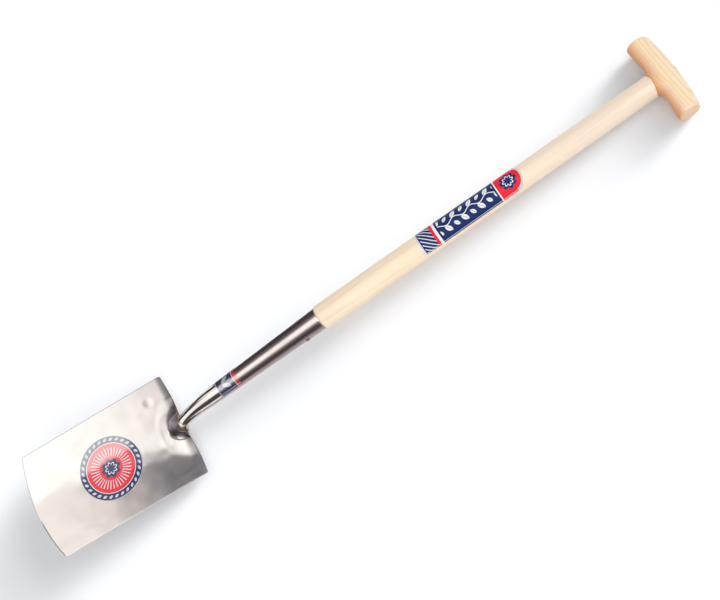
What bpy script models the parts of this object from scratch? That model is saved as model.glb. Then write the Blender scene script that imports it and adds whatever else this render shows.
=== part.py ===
"""A stainless steel digging spade with a swan-necked socket and an ash T-handle.

The spade lies on its back, as it rests on a floor: +X runs up the shaft to the grip,
+Y runs across it and +Z is up, out of the blade's working face. The pieces are drawn
about the shaft's axis, with x = 0 at the socket's rim, and one empty then lays the
whole tool down so that its heel and its grip touch z = 0. Metres throughout.
"""

import math

import bmesh
import bpy
import numpy as np
from mathutils import Matrix, Vector

# How the meshes are drawn
SHARP_ANGLE = math.radians(40.0)
CROWDING_ACROSS = 0.60      # how much closer the blade's columns lie at its middle
CROWDING_DOWN = 0.70        # and its rows at its top edge
CORNER_COLUMNS = (0.5, 0.13, 0.0)
CAGE_FULLNESS = 0.9167      # a smoothed square's reach, as a share of its cage

# Clearances
TOUCH_GAP = 0.0003          # left between two pieces that touch
FILM_GAP = 0.0002           # under a stuck-on label

# Wooden shaft
SHAFT_LENGTH = 0.6145       # from the socket's rim to the T-grip
SHAFT_RIM_DIAMETER = 0.0408
SHAFT_BELLY_DIAMETER = 0.0415
SHAFT_BELLY_AT = 0.100      # above the rim
SHAFT_TOP_DIAMETER = 0.0364
SHOULDER_ROUND = 0.0012     # the wood's rounded corner at the rim
SHOULDER_ROUND_LENGTH = 0.004
SPIGOT_DEPTH = 0.165        # shaft inside the socket
SPIGOT_POINT = 0.012        # chamfered end of the spigot
SPIGOT_POINT_DROP = 0.003
SHAFT_SIDES = 30

# Tenon through the T-grip, split by a wedge
TENON_DIAMETER = 0.024
TENON_PROUD = 0.0005        # trimmed just above the grip's rounded crown
SADDLE_RADIUS = 0.044       # the shaft's coped end
WEDGE_DEPTH = 0.022
WEDGE_WIDTH = 0.021
WEDGE_HEAD = 0.0034
WEDGE_TIP = 0.0012

# T-grip
GRIP_LENGTH = 0.1432
GRIP_CROWN = 0.0446         # from the shaft's end to the outside of the crown
GRIP_END_THICKNESS = 0.0372
GRIP_MID_THICKNESS = 0.0376
GRIP_END_DEPTH = 0.0350     # front to back
GRIP_MID_DEPTH = 0.0375
GRIP_ARCH = 0.0052          # how far the outer edge falls back at the ends
GRIP_END_EDGE = 0.011       # length of the rounded end
GRIP_END_FLAT = 0.70        # flat share of the end's width and depth
GRIP_BOSS_WIDTH = 0.0365
GRIP_COVE = 0.019           # length of the curve from the boss to the bar
GRIP_BOSS_REACH = 0.0076    # its cage, below the shaft's end

# Tubular socket with its swan neck
SOCKET_RIM_DIAMETER = 0.0380
SOCKET_MID_DIAMETER = 0.0339
SOCKET_MID_AT = 0.100       # below the rim
SOCKET_WALL = 0.0016
SOCKET_TILT = math.radians(2.1)
SOCKET_STRAIGHT = 0.2258
SOCKET_BEND_DIAMETER = 0.0283
NECK_DIAMETER = 0.0209
NECK_BEND_RADIUS = 0.1324
NECK_BEND_ANGLE = math.radians(24.4)
FOOT_DIAMETER = 0.0170
FOOT_BEND_RADIUS = 0.024    # the last, tight turn down to the blade
FOOT_BEND_ANGLE = math.radians(37.0)
SOCKET_SPARE = 0.031        # more tube than it takes, trimmed off at the blade
SOCKET_SIDES = 30

# Rivet through the socket and the shaft
RIVET_AT = 0.034            # below the rim
RIVET_SHANK_DIAMETER = 0.005
RIVET_HEAD_DIAMETER = 0.0080
RIVET_HEAD_HEIGHT = 0.0009
RIVET_DOME = ((1.0, 0.0), (0.96, 0.35), (0.78, 0.72), (0.45, 0.94))
RIVET_SIDES = 20

# Blade
BLADE_LENGTH = 0.2642       # shoulder to corner
BLADE_WIDTH = 0.1884
BLADE_THICKNESS = 0.0025
BLADE_LIFT = math.radians(10.4)
BLADE_TOP_BELOW_RIM = 0.290
BLADE_TOP_BEHIND_AXIS = 0.0385
BLADE_DISH_TOP = 0.0088     # how far the long edges stand forward, at the shoulders
BLADE_DISH_TIP = 0.0081     # and at the cutting edge
CUTTING_EDGE_BOW = 0.0166
TOP_EDGE_INSET = 0.0012     # the top edge's corners, down from the blade's origin
TOP_EDGE_SWELL = 0.0014     # each half of the top edge bulges this far
TOP_EDGE_SCOOP = 0.0024     # and it runs in this far at the neck
SCOOP_HALF_WIDTH = 0.052
CORNER_RADIUS = 0.0025
SHOULDER_RISE = 0.0035      # the sheet stands up round the neck
SHOULDER_HALF_WIDTH = 0.064
SHOULDER_REACH = 0.050
SHOULDER_FADE = 2.0         # 1 ends a swelling in a crease, 2 lets it run out
HOLLOW_DEPTH = 0.00894      # and is pressed back where the neck lands
HOLLOW_HALF_WIDTH = 0.025
HOLLOW_REACH = 0.031
HOLLOW_FADE = 1.25
ROLL_DROP = 0.0011          # the top edge is rolled back a little
ROLL_WIDTH = 0.013
TRIM_DEPTH = 0.040          # of the hidden blocks that trim the neck and the welds
TRIM_HALF_WIDTH = 0.045
TRIM_REACH = 0.088
HEEL_REACH = 0.044
BLADE_COLUMNS = 36
BLADE_ROWS = 26

# Weld metal at the neck
BEAD_RADIUS = 0.0026
BEAD_REACH = math.radians(112.0)    # each way round the neck, from the side facing the tip
BEAD_STEPS = 28
BEAD_SIDES = 10
EDGE_WELD_LEFT = 0.0230     # run-outs along the blade's top edge
EDGE_WELD_RIGHT = 0.0110
EDGE_WELD_STEPS = 8
EDGE_WELD_RADIUS = 0.0026
EDGE_WELD_TIP_RADIUS = 0.0009

# Labels, thin films stuck on the front
FILM_THICKNESS = 0.00025
SHAFT_LABEL_START = 0.195
SHAFT_LABEL_END = 0.3835
SHAFT_LABEL_HALF_STEPS = 6  # sides of the shaft covered each way from the front
SHAFT_LABEL_ROUND = 0.017   # corner radius of its upper end
SOCKET_LABEL_START = 0.1615  # below the rim
SOCKET_LABEL_END = 0.2005
SOCKET_LABEL_HALF_STEPS = 6
BLADE_LABEL_DIAMETER = 0.1078
BLADE_LABEL_BELOW_TOP = 0.1400
BLADE_LABEL_SEGMENTS = 36

FORWARD = Vector((-1.0, 0.0, 0.0))
ACROSS = Vector((0.0, 1.0, 0.0))
BLADE_TOP = Vector((-BLADE_TOP_BELOW_RIM, 0.0, -BLADE_TOP_BEHIND_AXIS))
TO_TIP = Vector((-math.cos(BLADE_LIFT), 0.0, math.sin(BLADE_LIFT)))
BLADE_FRONT = Vector((math.sin(BLADE_LIFT), 0.0, math.cos(BLADE_LIFT)))

for old in list(bpy.data.objects):
    bpy.data.objects.remove(old, do_unlink=True)

spade = bpy.data.objects.new("spade", None)
bpy.context.scene.collection.objects.link(spade)


def make_material(name, color, roughness, metallic):
    """A plain Principled material in the piece's own colour."""
    material = bpy.data.materials.new(name)
    material.use_nodes = True
    shader = material.node_tree.nodes["Principled BSDF"]
    shader.inputs["Base Color"].default_value = (*color, 1.0)
    shader.inputs["Roughness"].default_value = roughness
    shader.inputs["Metallic"].default_value = metallic
    material.diffuse_color = (*color, 1.0)
    return material


BLADE_STEEL = make_material("blade_steel", (0.62, 0.59, 0.57), 0.28, 1.0)
SOCKET_STEEL = make_material("socket_steel", (0.56, 0.54, 0.54), 0.16, 1.0)
WELD_STEEL = make_material("weld_steel", (0.34, 0.26, 0.18), 0.45, 1.0)
RIVET_STEEL = make_material("rivet_steel", (0.45, 0.42, 0.38), 0.30, 1.0)
SHAFT_WOOD = make_material("shaft_wood", (0.86, 0.69, 0.52), 0.50, 0.0)
GRIP_WOOD = make_material("grip_wood", (0.85, 0.63, 0.36), 0.48, 0.0)
WEDGE_WOOD = make_material("wedge_wood", (0.60, 0.40, 0.22), 0.60, 0.0)
SHAFT_FILM = make_material("shaft_film", (0.02, 0.04, 0.16), 0.30, 0.0)
BLADE_FILM = make_material("blade_film", (0.70, 0.03, 0.05), 0.30, 0.0)
SOCKET_FILM = make_material("socket_film", (0.03, 0.06, 0.22), 0.30, 0.0)


def add_piece(name, bm, material):
    """Turns a bmesh into a named piece of the spade."""
    bmesh.ops.recalc_face_normals(bm, faces=bm.faces)
    mesh = bpy.data.meshes.new(name)
    bm.to_mesh(mesh)
    bm.free()
    mesh.shade_smooth()
    mesh.set_sharp_from_angle(angle=SHARP_ANGLE)
    mesh.materials.append(material)
    piece = bpy.data.objects.new(name, mesh)
    bpy.context.scene.collection.objects.link(piece)
    piece.parent = spade
    return piece


def add_cutter(name, bm):
    """Turns a bmesh into a hidden guide for a Boolean."""
    cutter = add_piece(name, bm, WELD_STEEL)
    cutter.hide_render = True
    cutter.display_type = "WIRE"
    return cutter


def cut(piece, cutter):
    """Takes the cutter's space out of a piece."""
    boolean = piece.modifiers.new("cut_" + cutter.name, "BOOLEAN")
    boolean.operation = "DIFFERENCE"
    boolean.solver = "EXACT"
    boolean.object = cutter


def skin(rings, closed=False):
    """Joins rings of points into one body, capped unless the last ring meets the first."""
    bm = bmesh.new()
    loops = [[bm.verts.new(point) for point in ring] for ring in rings]
    pairs = list(zip(loops, loops[1:]))
    if closed:
        pairs.append((loops[-1], loops[0]))
    for near, far in pairs:
        for i in range(len(near)):
            bm.faces.new((near[i], near[i - 1], far[i - 1], far[i]))
    if not closed:
        bm.faces.new(loops[0])
        bm.faces.new(reversed(loops[-1]))
    return bm


def slab(front_rows, back_rows):
    """Closes two matching grids of points into one thin body."""
    bm = bmesh.new()
    front = [[bm.verts.new(point) for point in row] for row in front_rows]
    back = [[bm.verts.new(point) for point in row] for row in back_rows]
    for grid in (front, back):
        for row, below in zip(grid, grid[1:]):
            for i in range(len(row) - 1):
                bm.faces.new((row[i], row[i + 1], below[i + 1], below[i]))
    rims = []
    for grid in (front, back):
        right = [row[-1] for row in grid[1:-1]]
        left = [row[0] for row in reversed(grid[1:-1])]
        rims.append(grid[0] + right + list(reversed(grid[-1])) + left)
    for i in range(len(rims[0])):
        bm.faces.new((rims[0][i], rims[0][i - 1], rims[1][i - 1], rims[1][i]))
    return bm


def circle(centre, forward, radius, sides):
    """A ring of points round a centre, the first one on the front; forward lies in XZ."""
    front = forward.cross(ACROSS)
    if front.z < 0.0:
        front = -front
    turns = [2.0 * math.pi * i / sides for i in range(sides)]
    return [centre + radius * (math.cos(a) * front + math.sin(a) * ACROSS) for a in turns]


# The socket's centre line


NECK_BEND = NECK_BEND_RADIUS * NECK_BEND_ANGLE
FOOT_BEND = FOOT_BEND_RADIUS * FOOT_BEND_ANGLE
NECK_START = SOCKET_STRAIGHT + NECK_BEND
NECK_END = NECK_START + FOOT_BEND
RUNS = ((SOCKET_STRAIGHT, None), (NECK_BEND, NECK_BEND_RADIUS), (FOOT_BEND, FOOT_BEND_RADIUS))


def socket_pose(along):
    """The centre line's point and its angle below the shaft, at a distance from the rim."""
    point = Vector((0.0, 0.0, 0.0))
    heading = SOCKET_TILT
    for length, radius in RUNS + ((math.inf, None),):
        step = min(along, length)
        along -= step
        if radius is None:
            point += step * Vector((-math.cos(heading), 0.0, -math.sin(heading)))
            continue
        turned = heading + step / radius
        right = math.sin(turned) - math.sin(heading)
        down = math.cos(heading) - math.cos(turned)
        point -= radius * Vector((right, 0.0, down))
        heading = turned
    return point, heading


def socket_direction(along):
    """The way the socket runs there, away from the rim."""
    heading = socket_pose(along)[1]
    return Vector((-math.cos(heading), 0.0, -math.sin(heading)))


def socket_centre(along):
    """A point on the centre line."""
    return socket_pose(along)[0]


def socket_radius(along):
    """Half the tube's outside diameter."""
    stations = [0.0, SOCKET_MID_AT, SOCKET_STRAIGHT, NECK_START, NECK_END]
    upper = [SOCKET_RIM_DIAMETER, SOCKET_MID_DIAMETER, SOCKET_BEND_DIAMETER]
    return 0.5 * float(np.interp(along, stations, upper + [NECK_DIAMETER, FOOT_DIAMETER]))


def socket_ring(along, offset, sides=SOCKET_SIDES):
    """A ring round the centre line, offset from the tube's outside."""
    radius = socket_radius(along) + offset
    return circle(socket_centre(along), socket_direction(along), radius, sides)


# The blade's surface


def swelling(below, side, reach, half_width, fade):
    """1 at the middle of the top edge, falling to 0 on an oval round it."""
    out = (side / half_width) ** 2 + (below / reach) ** 2
    return max(0.0, 1.0 - out) ** fade


def blade_height(below, side):
    """How far the working face stands forward of the blade's plane."""
    share = min(1.0, max(0.0, below / BLADE_LENGTH))
    dish = BLADE_DISH_TOP + (BLADE_DISH_TIP - BLADE_DISH_TOP) * share
    shoulder = swelling(below, side, SHOULDER_REACH, SHOULDER_HALF_WIDTH, SHOULDER_FADE)
    hollow = swelling(below, side, HOLLOW_REACH, HOLLOW_HALF_WIDTH, HOLLOW_FADE)
    roll = ROLL_DROP * min(1.0, max(0.0, 1.0 - below / ROLL_WIDTH)) ** 2
    pressed = SHOULDER_RISE * shoulder - HOLLOW_DEPTH * hollow - roll
    return dish * (2.0 * side / BLADE_WIDTH) ** 2 + pressed


def blade_point(below, side, lift=0.0):
    """A point of the working face, or one lifted off it."""
    flat = BLADE_TOP + TO_TIP * below + ACROSS * side
    return flat + BLADE_FRONT * (blade_height(below, side) + lift)


def blade_top_edge(side):
    """Where the top edge runs: each half bulges towards the handle, and it dips at the neck."""
    share = abs(2.0 * side / BLADE_WIDTH)
    scoop = TOP_EDGE_SCOOP * max(0.0, 1.0 - (side / SCOOP_HALF_WIDTH) ** 2) ** 2
    return TOP_EDGE_INSET + scoop - TOP_EDGE_SWELL * 4.0 * share * (1.0 - share)


def blade_cutting_edge(side):
    """Where the bowed cutting edge runs."""
    return BLADE_LENGTH + CUTTING_EDGE_BOW * (1.0 - (2.0 * side / BLADE_WIDTH) ** 2)


def blade_sides():
    """Places across the blade between its corners, closer together round the hollow."""
    half_width = 0.5 * BLADE_WIDTH - CORNER_RADIUS
    steps = np.linspace(-1.0, 1.0, BLADE_COLUMNS + 1)
    share = CROWDING_ACROSS
    return [half_width * float((1.0 - share) * t + share * t**3) for t in steps]


def blade_rows(start, end, rows):
    """Places down the blade, closer together near the top edge."""
    steps = np.linspace(0.0, 1.0, rows + 1)
    share = CROWDING_DOWN
    return [start + (end - start) * float((1.0 - share) * t + share * t**2) for t in steps]


def blade_grid(lift):
    """The whole face as a grid of points, with rounded corners."""
    half = 0.5 * BLADE_WIDTH
    rounds = [half - CORNER_RADIUS * share for share in CORNER_COLUMNS]
    sides = [-side for side in reversed(rounds)] + blade_sides() + rounds
    columns = []
    for side in sides:
        inset = max(0.0, abs(side) - (half - CORNER_RADIUS))
        rounding = CORNER_RADIUS - math.sqrt(max(0.0, CORNER_RADIUS**2 - inset**2))
        top = blade_top_edge(side) + rounding
        tip = blade_cutting_edge(side) - rounding
        columns.append([(below, side) for below in blade_rows(top, tip, BLADE_ROWS)])
    rows = zip(*columns)
    return [[blade_point(below, side, lift) for below, side in row] for row in rows]


# Where the neck's tube meets the blade


def foot_point(turn):
    """The point of the blade's face that a line along the neck's side runs into."""
    along = socket_direction(NECK_END)
    front = along.cross(ACROSS)
    if front.z < 0.0:
        front = -front
    around = math.cos(turn) * front + math.sin(turn) * ACROSS
    point = socket_centre(NECK_END) + 0.5 * FOOT_DIAMETER * around
    for _ in range(30):
        local = point - BLADE_TOP
        height = local.dot(BLADE_FRONT) - blade_height(local.dot(TO_TIP), local.y)
        point = point - along * (height / along.dot(BLADE_FRONT))
    return point


def build_blade():
    """One pressed sheet: dished across, bowed at its cutting edge, hollowed at the neck."""
    return add_piece("blade", slab(blade_grid(0.0), blade_grid(-BLADE_THICKNESS)), BLADE_STEEL)


def block_behind(name, lift, rows_at):
    """Everything behind a surface parallel to the blade's face, as a guide to trim by."""
    sides = [side for side in blade_sides() if abs(side) <= TRIM_HALF_WIDTH]
    grids = []
    for height in (lift, lift - TRIM_DEPTH):
        columns = []
        for side in sides:
            columns.append([blade_point(below, side, height) for below in rows_at(side)])
        grids.append(columns)
    return add_cutter(name, slab(*grids))


def build_face_block():
    """The blade's own space, its clearance, and everything behind it."""
    middle = blade_rows(blade_top_edge(0.0), blade_cutting_edge(0.0), BLADE_ROWS)
    count = sum(below < TRIM_REACH for below in middle)

    def rows_at(side):
        top = blade_top_edge(side)
        rows = blade_rows(top, blade_cutting_edge(side), BLADE_ROWS)
        return [top - TOUCH_GAP] + rows[1:count]

    return block_behind("face_block", TOUCH_GAP, rows_at)


def build_heel_block():
    """Everything behind the level of the blade's back, past its top edge too."""

    def rows_at(side):
        return blade_rows(-NECK_DIAMETER, HEEL_REACH, BLADE_ROWS)

    return block_behind("heel_block", -BLADE_THICKNESS, rows_at)


def build_socket(trims):
    """A tapered tube, bent into a swan neck, its foot notched over the blade's top edge."""
    taper = np.linspace(0.0, SOCKET_MID_AT, 3)
    waist = np.linspace(SOCKET_MID_AT, SOCKET_STRAIGHT, 4)[1:]
    bend = np.linspace(SOCKET_STRAIGHT, NECK_START, 7)[1:]
    foot = np.linspace(NECK_START, NECK_END, 6)[1:]
    stations = [float(s) for s in (*taper, *waist, *bend, *foot, NECK_END + SOCKET_SPARE)]
    outside = [socket_ring(s, 0.0) for s in stations]
    inside = [socket_ring(s, -SOCKET_WALL) for s in reversed(stations)]
    socket = add_piece("tubular_socket", skin(outside + inside, closed=True), SOCKET_STEEL)
    for trim in trims:
        cut(socket, trim)
    return socket


def build_neck_guide():
    """The neck as a solid bar with its clearance, to trim the weld metal."""
    foot = np.linspace(NECK_START, NECK_END, 6)
    stations = [float(s) for s in (*foot, NECK_END + SOCKET_SPARE)]
    return add_cutter("neck_guide", skin([socket_ring(s, TOUCH_GAP) for s in stations]))


def bead_ring(centre, ahead, radius):
    """A small round section of weld metal, square to the way the bead runs."""
    side = ahead.cross(BLADE_FRONT).normalized()
    up = side.cross(ahead).normalized()
    turns = [2.0 * math.pi * i / BEAD_SIDES for i in range(BEAD_SIDES)]
    return [centre + radius * (math.cos(a) * side + math.sin(a) * up) for a in turns]


def build_neck_weld(trims):
    """The bead that runs round the front of the neck's foot, from edge to edge."""
    turns = np.linspace(-BEAD_REACH, BEAD_REACH, BEAD_STEPS + 1)
    path = [foot_point(float(turn)) for turn in turns]
    rings = []
    for i, point in enumerate(path):
        before = path[max(i - 1, 0)]
        after = path[min(i + 1, BEAD_STEPS)]
        rings.append(bead_ring(point, (after - before).normalized(), BEAD_RADIUS))
    weld = add_piece("neck_weld_bead", skin(rings), WELD_STEEL)
    for trim in trims:
        cut(weld, trim)
    return weld


def build_edge_weld(name, hand, length, face_block):
    """The bead's run-out along the top edge, on one side of the neck."""
    start = 0.5 * FOOT_DIAMETER + BEAD_RADIUS + TOUCH_GAP
    rings = []
    for share in np.linspace(0.0, 1.0, EDGE_WELD_STEPS):
        side = hand * (start + length * float(share))
        radius = EDGE_WELD_RADIUS + (EDGE_WELD_TIP_RADIUS - EDGE_WELD_RADIUS) * float(share)
        centre = blade_point(blade_top_edge(side) + radius, side)
        rings.append(bead_ring(centre, ACROSS, radius))
    weld = add_piece(name, skin(rings), WELD_STEEL)
    cut(weld, face_block)
    return weld


def saddle(z):
    """How far the shaft's coped end stands back at a place off its axis."""
    return SADDLE_RADIUS - math.sqrt(max(0.0, SADDLE_RADIUS**2 - z**2))


def coped_ring(x, radius):
    """A ring square to the shaft whose points follow the saddle."""
    ring = circle(Vector((x, 0.0, 0.0)), FORWARD, radius, SHAFT_SIDES)
    return [point + Vector((saddle(point.z), 0.0, 0.0)) for point in ring]


def shaft_radius(x):
    """Half the shaft's diameter above the rim."""
    stations = [0.0, SHAFT_BELLY_AT, SHAFT_LENGTH]
    diameters = [SHAFT_RIM_DIAMETER, SHAFT_BELLY_DIAMETER, SHAFT_TOP_DIAMETER]
    return 0.5 * float(np.interp(x, stations, diameters))


def shaft_ring(x, offset=0.0):
    """A ring round the visible shaft, offset from its surface."""
    radius = shaft_radius(x) + offset
    return circle(Vector((x, 0.0, 0.0)), FORWARD, radius, SHAFT_SIDES)


def crown_height():
    """The outside of the grip's crown, measured from the rim."""
    return SHAFT_LENGTH + GRIP_CROWN


def cross_ring(centre, radius):
    """A ring round the Y axis."""
    turns = [2.0 * math.pi * i / RIVET_SIDES for i in range(RIVET_SIDES)]
    offsets = [Vector((math.cos(a), 0.0, math.sin(a))) for a in turns]
    return [centre + radius * offset for offset in offsets]


def build_rivet_hole():
    """A drill through the socket and the shaft, a clearance wider than the rivet."""
    centre = socket_centre(RIVET_AT)
    radius = 0.5 * RIVET_SHANK_DIAMETER + TOUCH_GAP
    reach = SOCKET_RIM_DIAMETER
    ends = (centre - ACROSS * reach, centre + ACROSS * reach)
    return add_cutter("rivet_hole", skin([cross_ring(end, radius) for end in ends]))


def build_rivet():
    """A steel rivet, headed over on both sides of the socket."""
    centre = socket_centre(RIVET_AT)
    seat = socket_radius(RIVET_AT) + TOUCH_GAP
    shank = 0.5 * RIVET_SHANK_DIAMETER
    head = 0.5 * RIVET_HEAD_DIAMETER
    dome = [(head * wide, seat + RIVET_HEAD_HEIGHT * tall) for wide, tall in RIVET_DOME]
    profile = [(radius, -y) for radius, y in reversed(dome)]
    profile += [(shank, -seat), (shank, seat)] + dome
    rings = [cross_ring(centre + ACROSS * y, radius) for radius, y in profile]
    return add_piece("socket_rivet", skin(rings), RIVET_STEEL)


def crown_drop(z):
    """How far the grip's rounded crown falls away in front of and behind its middle."""
    radius = 0.5 * GRIP_MID_DEPTH
    return radius - math.sqrt(max(0.0, radius**2 - z**2))


def build_wedge_slot():
    """The saw cut in the tenon, already spread by its wedge."""
    top = crown_height() + TENON_PROUD
    tip = top - WEDGE_DEPTH - TOUCH_GAP
    slope = 0.5 * (WEDGE_HEAD - WEDGE_TIP) / WEDGE_DEPTH
    rings = []
    for x in (tip, top + TENON_DIAMETER):
        half = 0.5 * WEDGE_TIP + TOUCH_GAP + slope * (x - tip)
        corners = ((-half, -1.0), (half, -1.0), (half, 1.0), (-half, 1.0))
        rings.append([Vector((x, y, side * TENON_DIAMETER)) for y, side in corners])
    return add_cutter("wedge_slot", skin(rings))


def build_wedge():
    """The hardwood wedge driven into the tenon, its head trimmed with the crown."""
    top = crown_height() + TENON_PROUD
    tip = top - WEDGE_DEPTH
    slope = 0.5 * (WEDGE_HEAD - WEDGE_TIP) / WEDGE_DEPTH
    rings = []
    for z in np.linspace(-0.5 * WEDGE_WIDTH, 0.5 * WEDGE_WIDTH, 9):
        head = top - crown_drop(float(z))
        half_tip = 0.5 * WEDGE_TIP
        half_head = half_tip + slope * (head - tip)
        corners = ((tip, -half_tip), (tip, half_tip), (head, half_head), (head, -half_head))
        rings.append([Vector((x, y, float(z))) for x, y in corners])
    return add_piece("tenon_wedge", skin(rings), WEDGE_WOOD)


def rim_ring(radius):
    """A ring of the shaft's wood, a clearance above the socket's rim."""
    direction = socket_direction(0.0)
    return circle(socket_centre(0.0) - direction * TOUCH_GAP, direction, radius, SHAFT_SIDES)


def build_shaft(rivet_hole, wedge_slot):
    """One piece of ash: spigot, rounded shoulder, tapered shaft, coped end and tenon."""
    fit = -SOCKET_WALL - TOUCH_GAP
    end = SPIGOT_DEPTH
    rings = [socket_ring(end, fit - SPIGOT_POINT_DROP, SHAFT_SIDES)]
    for along in np.linspace(end - SPIGOT_POINT, 0.0, 5):
        rings.append(socket_ring(float(along), fit, SHAFT_SIDES))
    rings.append(rim_ring(socket_radius(0.0) + fit))
    rings.append(rim_ring(shaft_radius(0.0) - SHOULDER_ROUND))
    marks = [SHOULDER_ROUND_LENGTH, SHAFT_BELLY_AT]
    marks += [float(x) for x in np.linspace(SHAFT_BELLY_AT, SHAFT_LENGTH, 9)[1:-1]]
    rings += [shaft_ring(x) for x in marks]
    rings.append(coped_ring(SHAFT_LENGTH, shaft_radius(SHAFT_LENGTH)))
    tenon = 0.5 * TENON_DIAMETER
    rings.append(coped_ring(SHAFT_LENGTH, tenon))
    for share in (1.0, 0.75, 0.5, 0.2):
        top = circle(Vector((0.0, 0.0, 0.0)), FORWARD, share * tenon, SHAFT_SIDES)
        crown = crown_height() + TENON_PROUD
        rings.append([point + Vector((crown - crown_drop(point.z), 0.0, 0.0)) for point in top])
    shaft = add_piece("shaft", skin(rings), SHAFT_WOOD)
    cut(shaft, rivet_hole)
    cut(shaft, wedge_slot)
    return shaft


def build_mortise():
    """The space that the shaft's coped end and its tenon take out of the grip."""
    wide = 0.5 * SHAFT_TOP_DIAMETER + GRIP_COVE
    tenon = 0.5 * TENON_DIAMETER + TOUCH_GAP
    seat = SHAFT_LENGTH + TOUCH_GAP
    below = Vector((SHAFT_LENGTH - GRIP_COVE, 0.0, 0.0))
    beyond = Vector((crown_height() + GRIP_COVE, 0.0, 0.0))
    rings = [circle(below, FORWARD, wide, SHAFT_SIDES)]
    rings.append(coped_ring(seat, wide))
    rings.append(coped_ring(seat, tenon))
    rings.append(circle(beyond, FORWARD, tenon, SHAFT_SIDES))
    return add_cutter("mortise", skin(rings))


def build_grip(mortise):
    """The arched T-grip, carved from one block, with flat sawn ends and a boss."""
    half = 0.5 * GRIP_LENGTH
    boss = 0.5 * GRIP_BOSS_WIDTH
    crown = crown_height()

    def bar_section(y, size=1.0):
        share = (y / half) ** 2
        thick = GRIP_MID_THICKNESS + (GRIP_END_THICKNESS - GRIP_MID_THICKNESS) * share
        deep = GRIP_MID_DEPTH + (GRIP_END_DEPTH - GRIP_MID_DEPTH) * share
        middle = crown - GRIP_ARCH * share - 0.5 * thick
        out = 0.5 * thick / CAGE_FULLNESS * size
        up = 0.5 * deep / CAGE_FULLNESS * size
        corners = [(out, -up), (out, up), (-out, up), (-out, -up)]
        return [Vector((middle + a, y, b)) for a, b in corners]

    quarter = boss + GRIP_COVE
    places = [-half, -half + GRIP_END_EDGE, -quarter, -boss]
    places += [-y for y in reversed(places)]
    sections = [bar_section(-half, GRIP_END_FLAT)]
    sections += [bar_section(y) for y in places]
    sections.append(bar_section(half, GRIP_END_FLAT))
    bm = skin(sections)
    bm.faces.ensure_lookup_table()
    bmesh.ops.recalc_face_normals(bm, faces=bm.faces)
    under = [f for f in bm.faces if f.normal.x < -0.9 and abs(f.calc_center_median().y) < 1e-6]
    grown = bmesh.ops.extrude_discrete_faces(bm, faces=under)
    foot = SHAFT_LENGTH - GRIP_BOSS_REACH
    for corner in grown["faces"][0].verts:
        corner.co.x = foot
        corner.co.y = math.copysign(boss / CAGE_FULLNESS, corner.co.y)
        corner.co.z = math.copysign(boss / CAGE_FULLNESS, corner.co.z)
    grip = add_piece("t_grip", bm, GRIP_WOOD)
    smooth = grip.modifiers.new("carved", "SUBSURF")
    smooth.levels = 2
    smooth.render_levels = 2
    cut(grip, mortise)
    return grip


def wrapped_label(name, ring_at, stations_at, half_steps, sides, material):
    """A film bent round a tapered piece, its columns on the piece's own facets."""
    grids = []
    for lift in (FILM_GAP, FILM_GAP + FILM_THICKNESS):
        columns = []
        for step in range(-half_steps, half_steps + 1):
            columns.append([ring_at(x, lift)[step % sides] for x in stations_at(step)])
        grids.append(columns)
    return add_piece(name, slab(*grids), material)


def build_shaft_label():
    """The long label on the front of the shaft, its upper end rounded."""
    width = shaft_radius(SHAFT_LABEL_END) * 2.0 * math.pi / SHAFT_SIDES
    edge = SHAFT_LABEL_HALF_STEPS * width

    def stations(step):
        over = max(0.0, abs(step) * width - (edge - SHAFT_LABEL_ROUND))
        drop = SHAFT_LABEL_ROUND - math.sqrt(max(0.0, SHAFT_LABEL_ROUND**2 - over**2))
        end = SHAFT_LABEL_END - drop
        return [float(x) for x in np.linspace(SHAFT_LABEL_START, end, 5)]

    return wrapped_label(
        "shaft_label", shaft_ring, stations, SHAFT_LABEL_HALF_STEPS, SHAFT_SIDES, SHAFT_FILM
    )


def build_socket_label():
    """The small label on the front of the socket, just above the bend."""

    def stations(step):
        return [float(s) for s in np.linspace(SOCKET_LABEL_START, SOCKET_LABEL_END, 3)]

    return wrapped_label(
        "socket_label", socket_ring, stations, SOCKET_LABEL_HALF_STEPS, SOCKET_SIDES, SOCKET_FILM
    )


def build_blade_label():
    """The round label in the middle of the blade, bent to its dish."""
    shares = (0.12, 0.4, 0.7, 1.0)
    under = [(FILM_GAP, share) for share in shares]
    over = [(FILM_GAP + FILM_THICKNESS, share) for share in reversed(shares)]
    turns = [2.0 * math.pi * i / BLADE_LABEL_SEGMENTS for i in range(BLADE_LABEL_SEGMENTS)]
    rings = []
    for lift, share in under + over:
        radius = 0.5 * BLADE_LABEL_DIAMETER * share
        ring = []
        for turn in turns:
            below = BLADE_LABEL_BELOW_TOP + radius * math.cos(turn)
            ring.append(blade_point(below, radius * math.sin(turn), lift))
        rings.append(ring)
    return add_piece("blade_label", skin(rings), BLADE_FILM)


def world_points(pieces):
    """The corners of every finished mesh, about the shaft's axis."""
    graph = bpy.context.evaluated_depsgraph_get()
    points = {}
    for piece in pieces:
        evaluated = piece.evaluated_get(graph)
        mesh = evaluated.to_mesh()
        points[piece.name] = np.array([tuple(v.co) for v in mesh.vertices])
        evaluated.to_mesh_clear()
    return points


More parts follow.
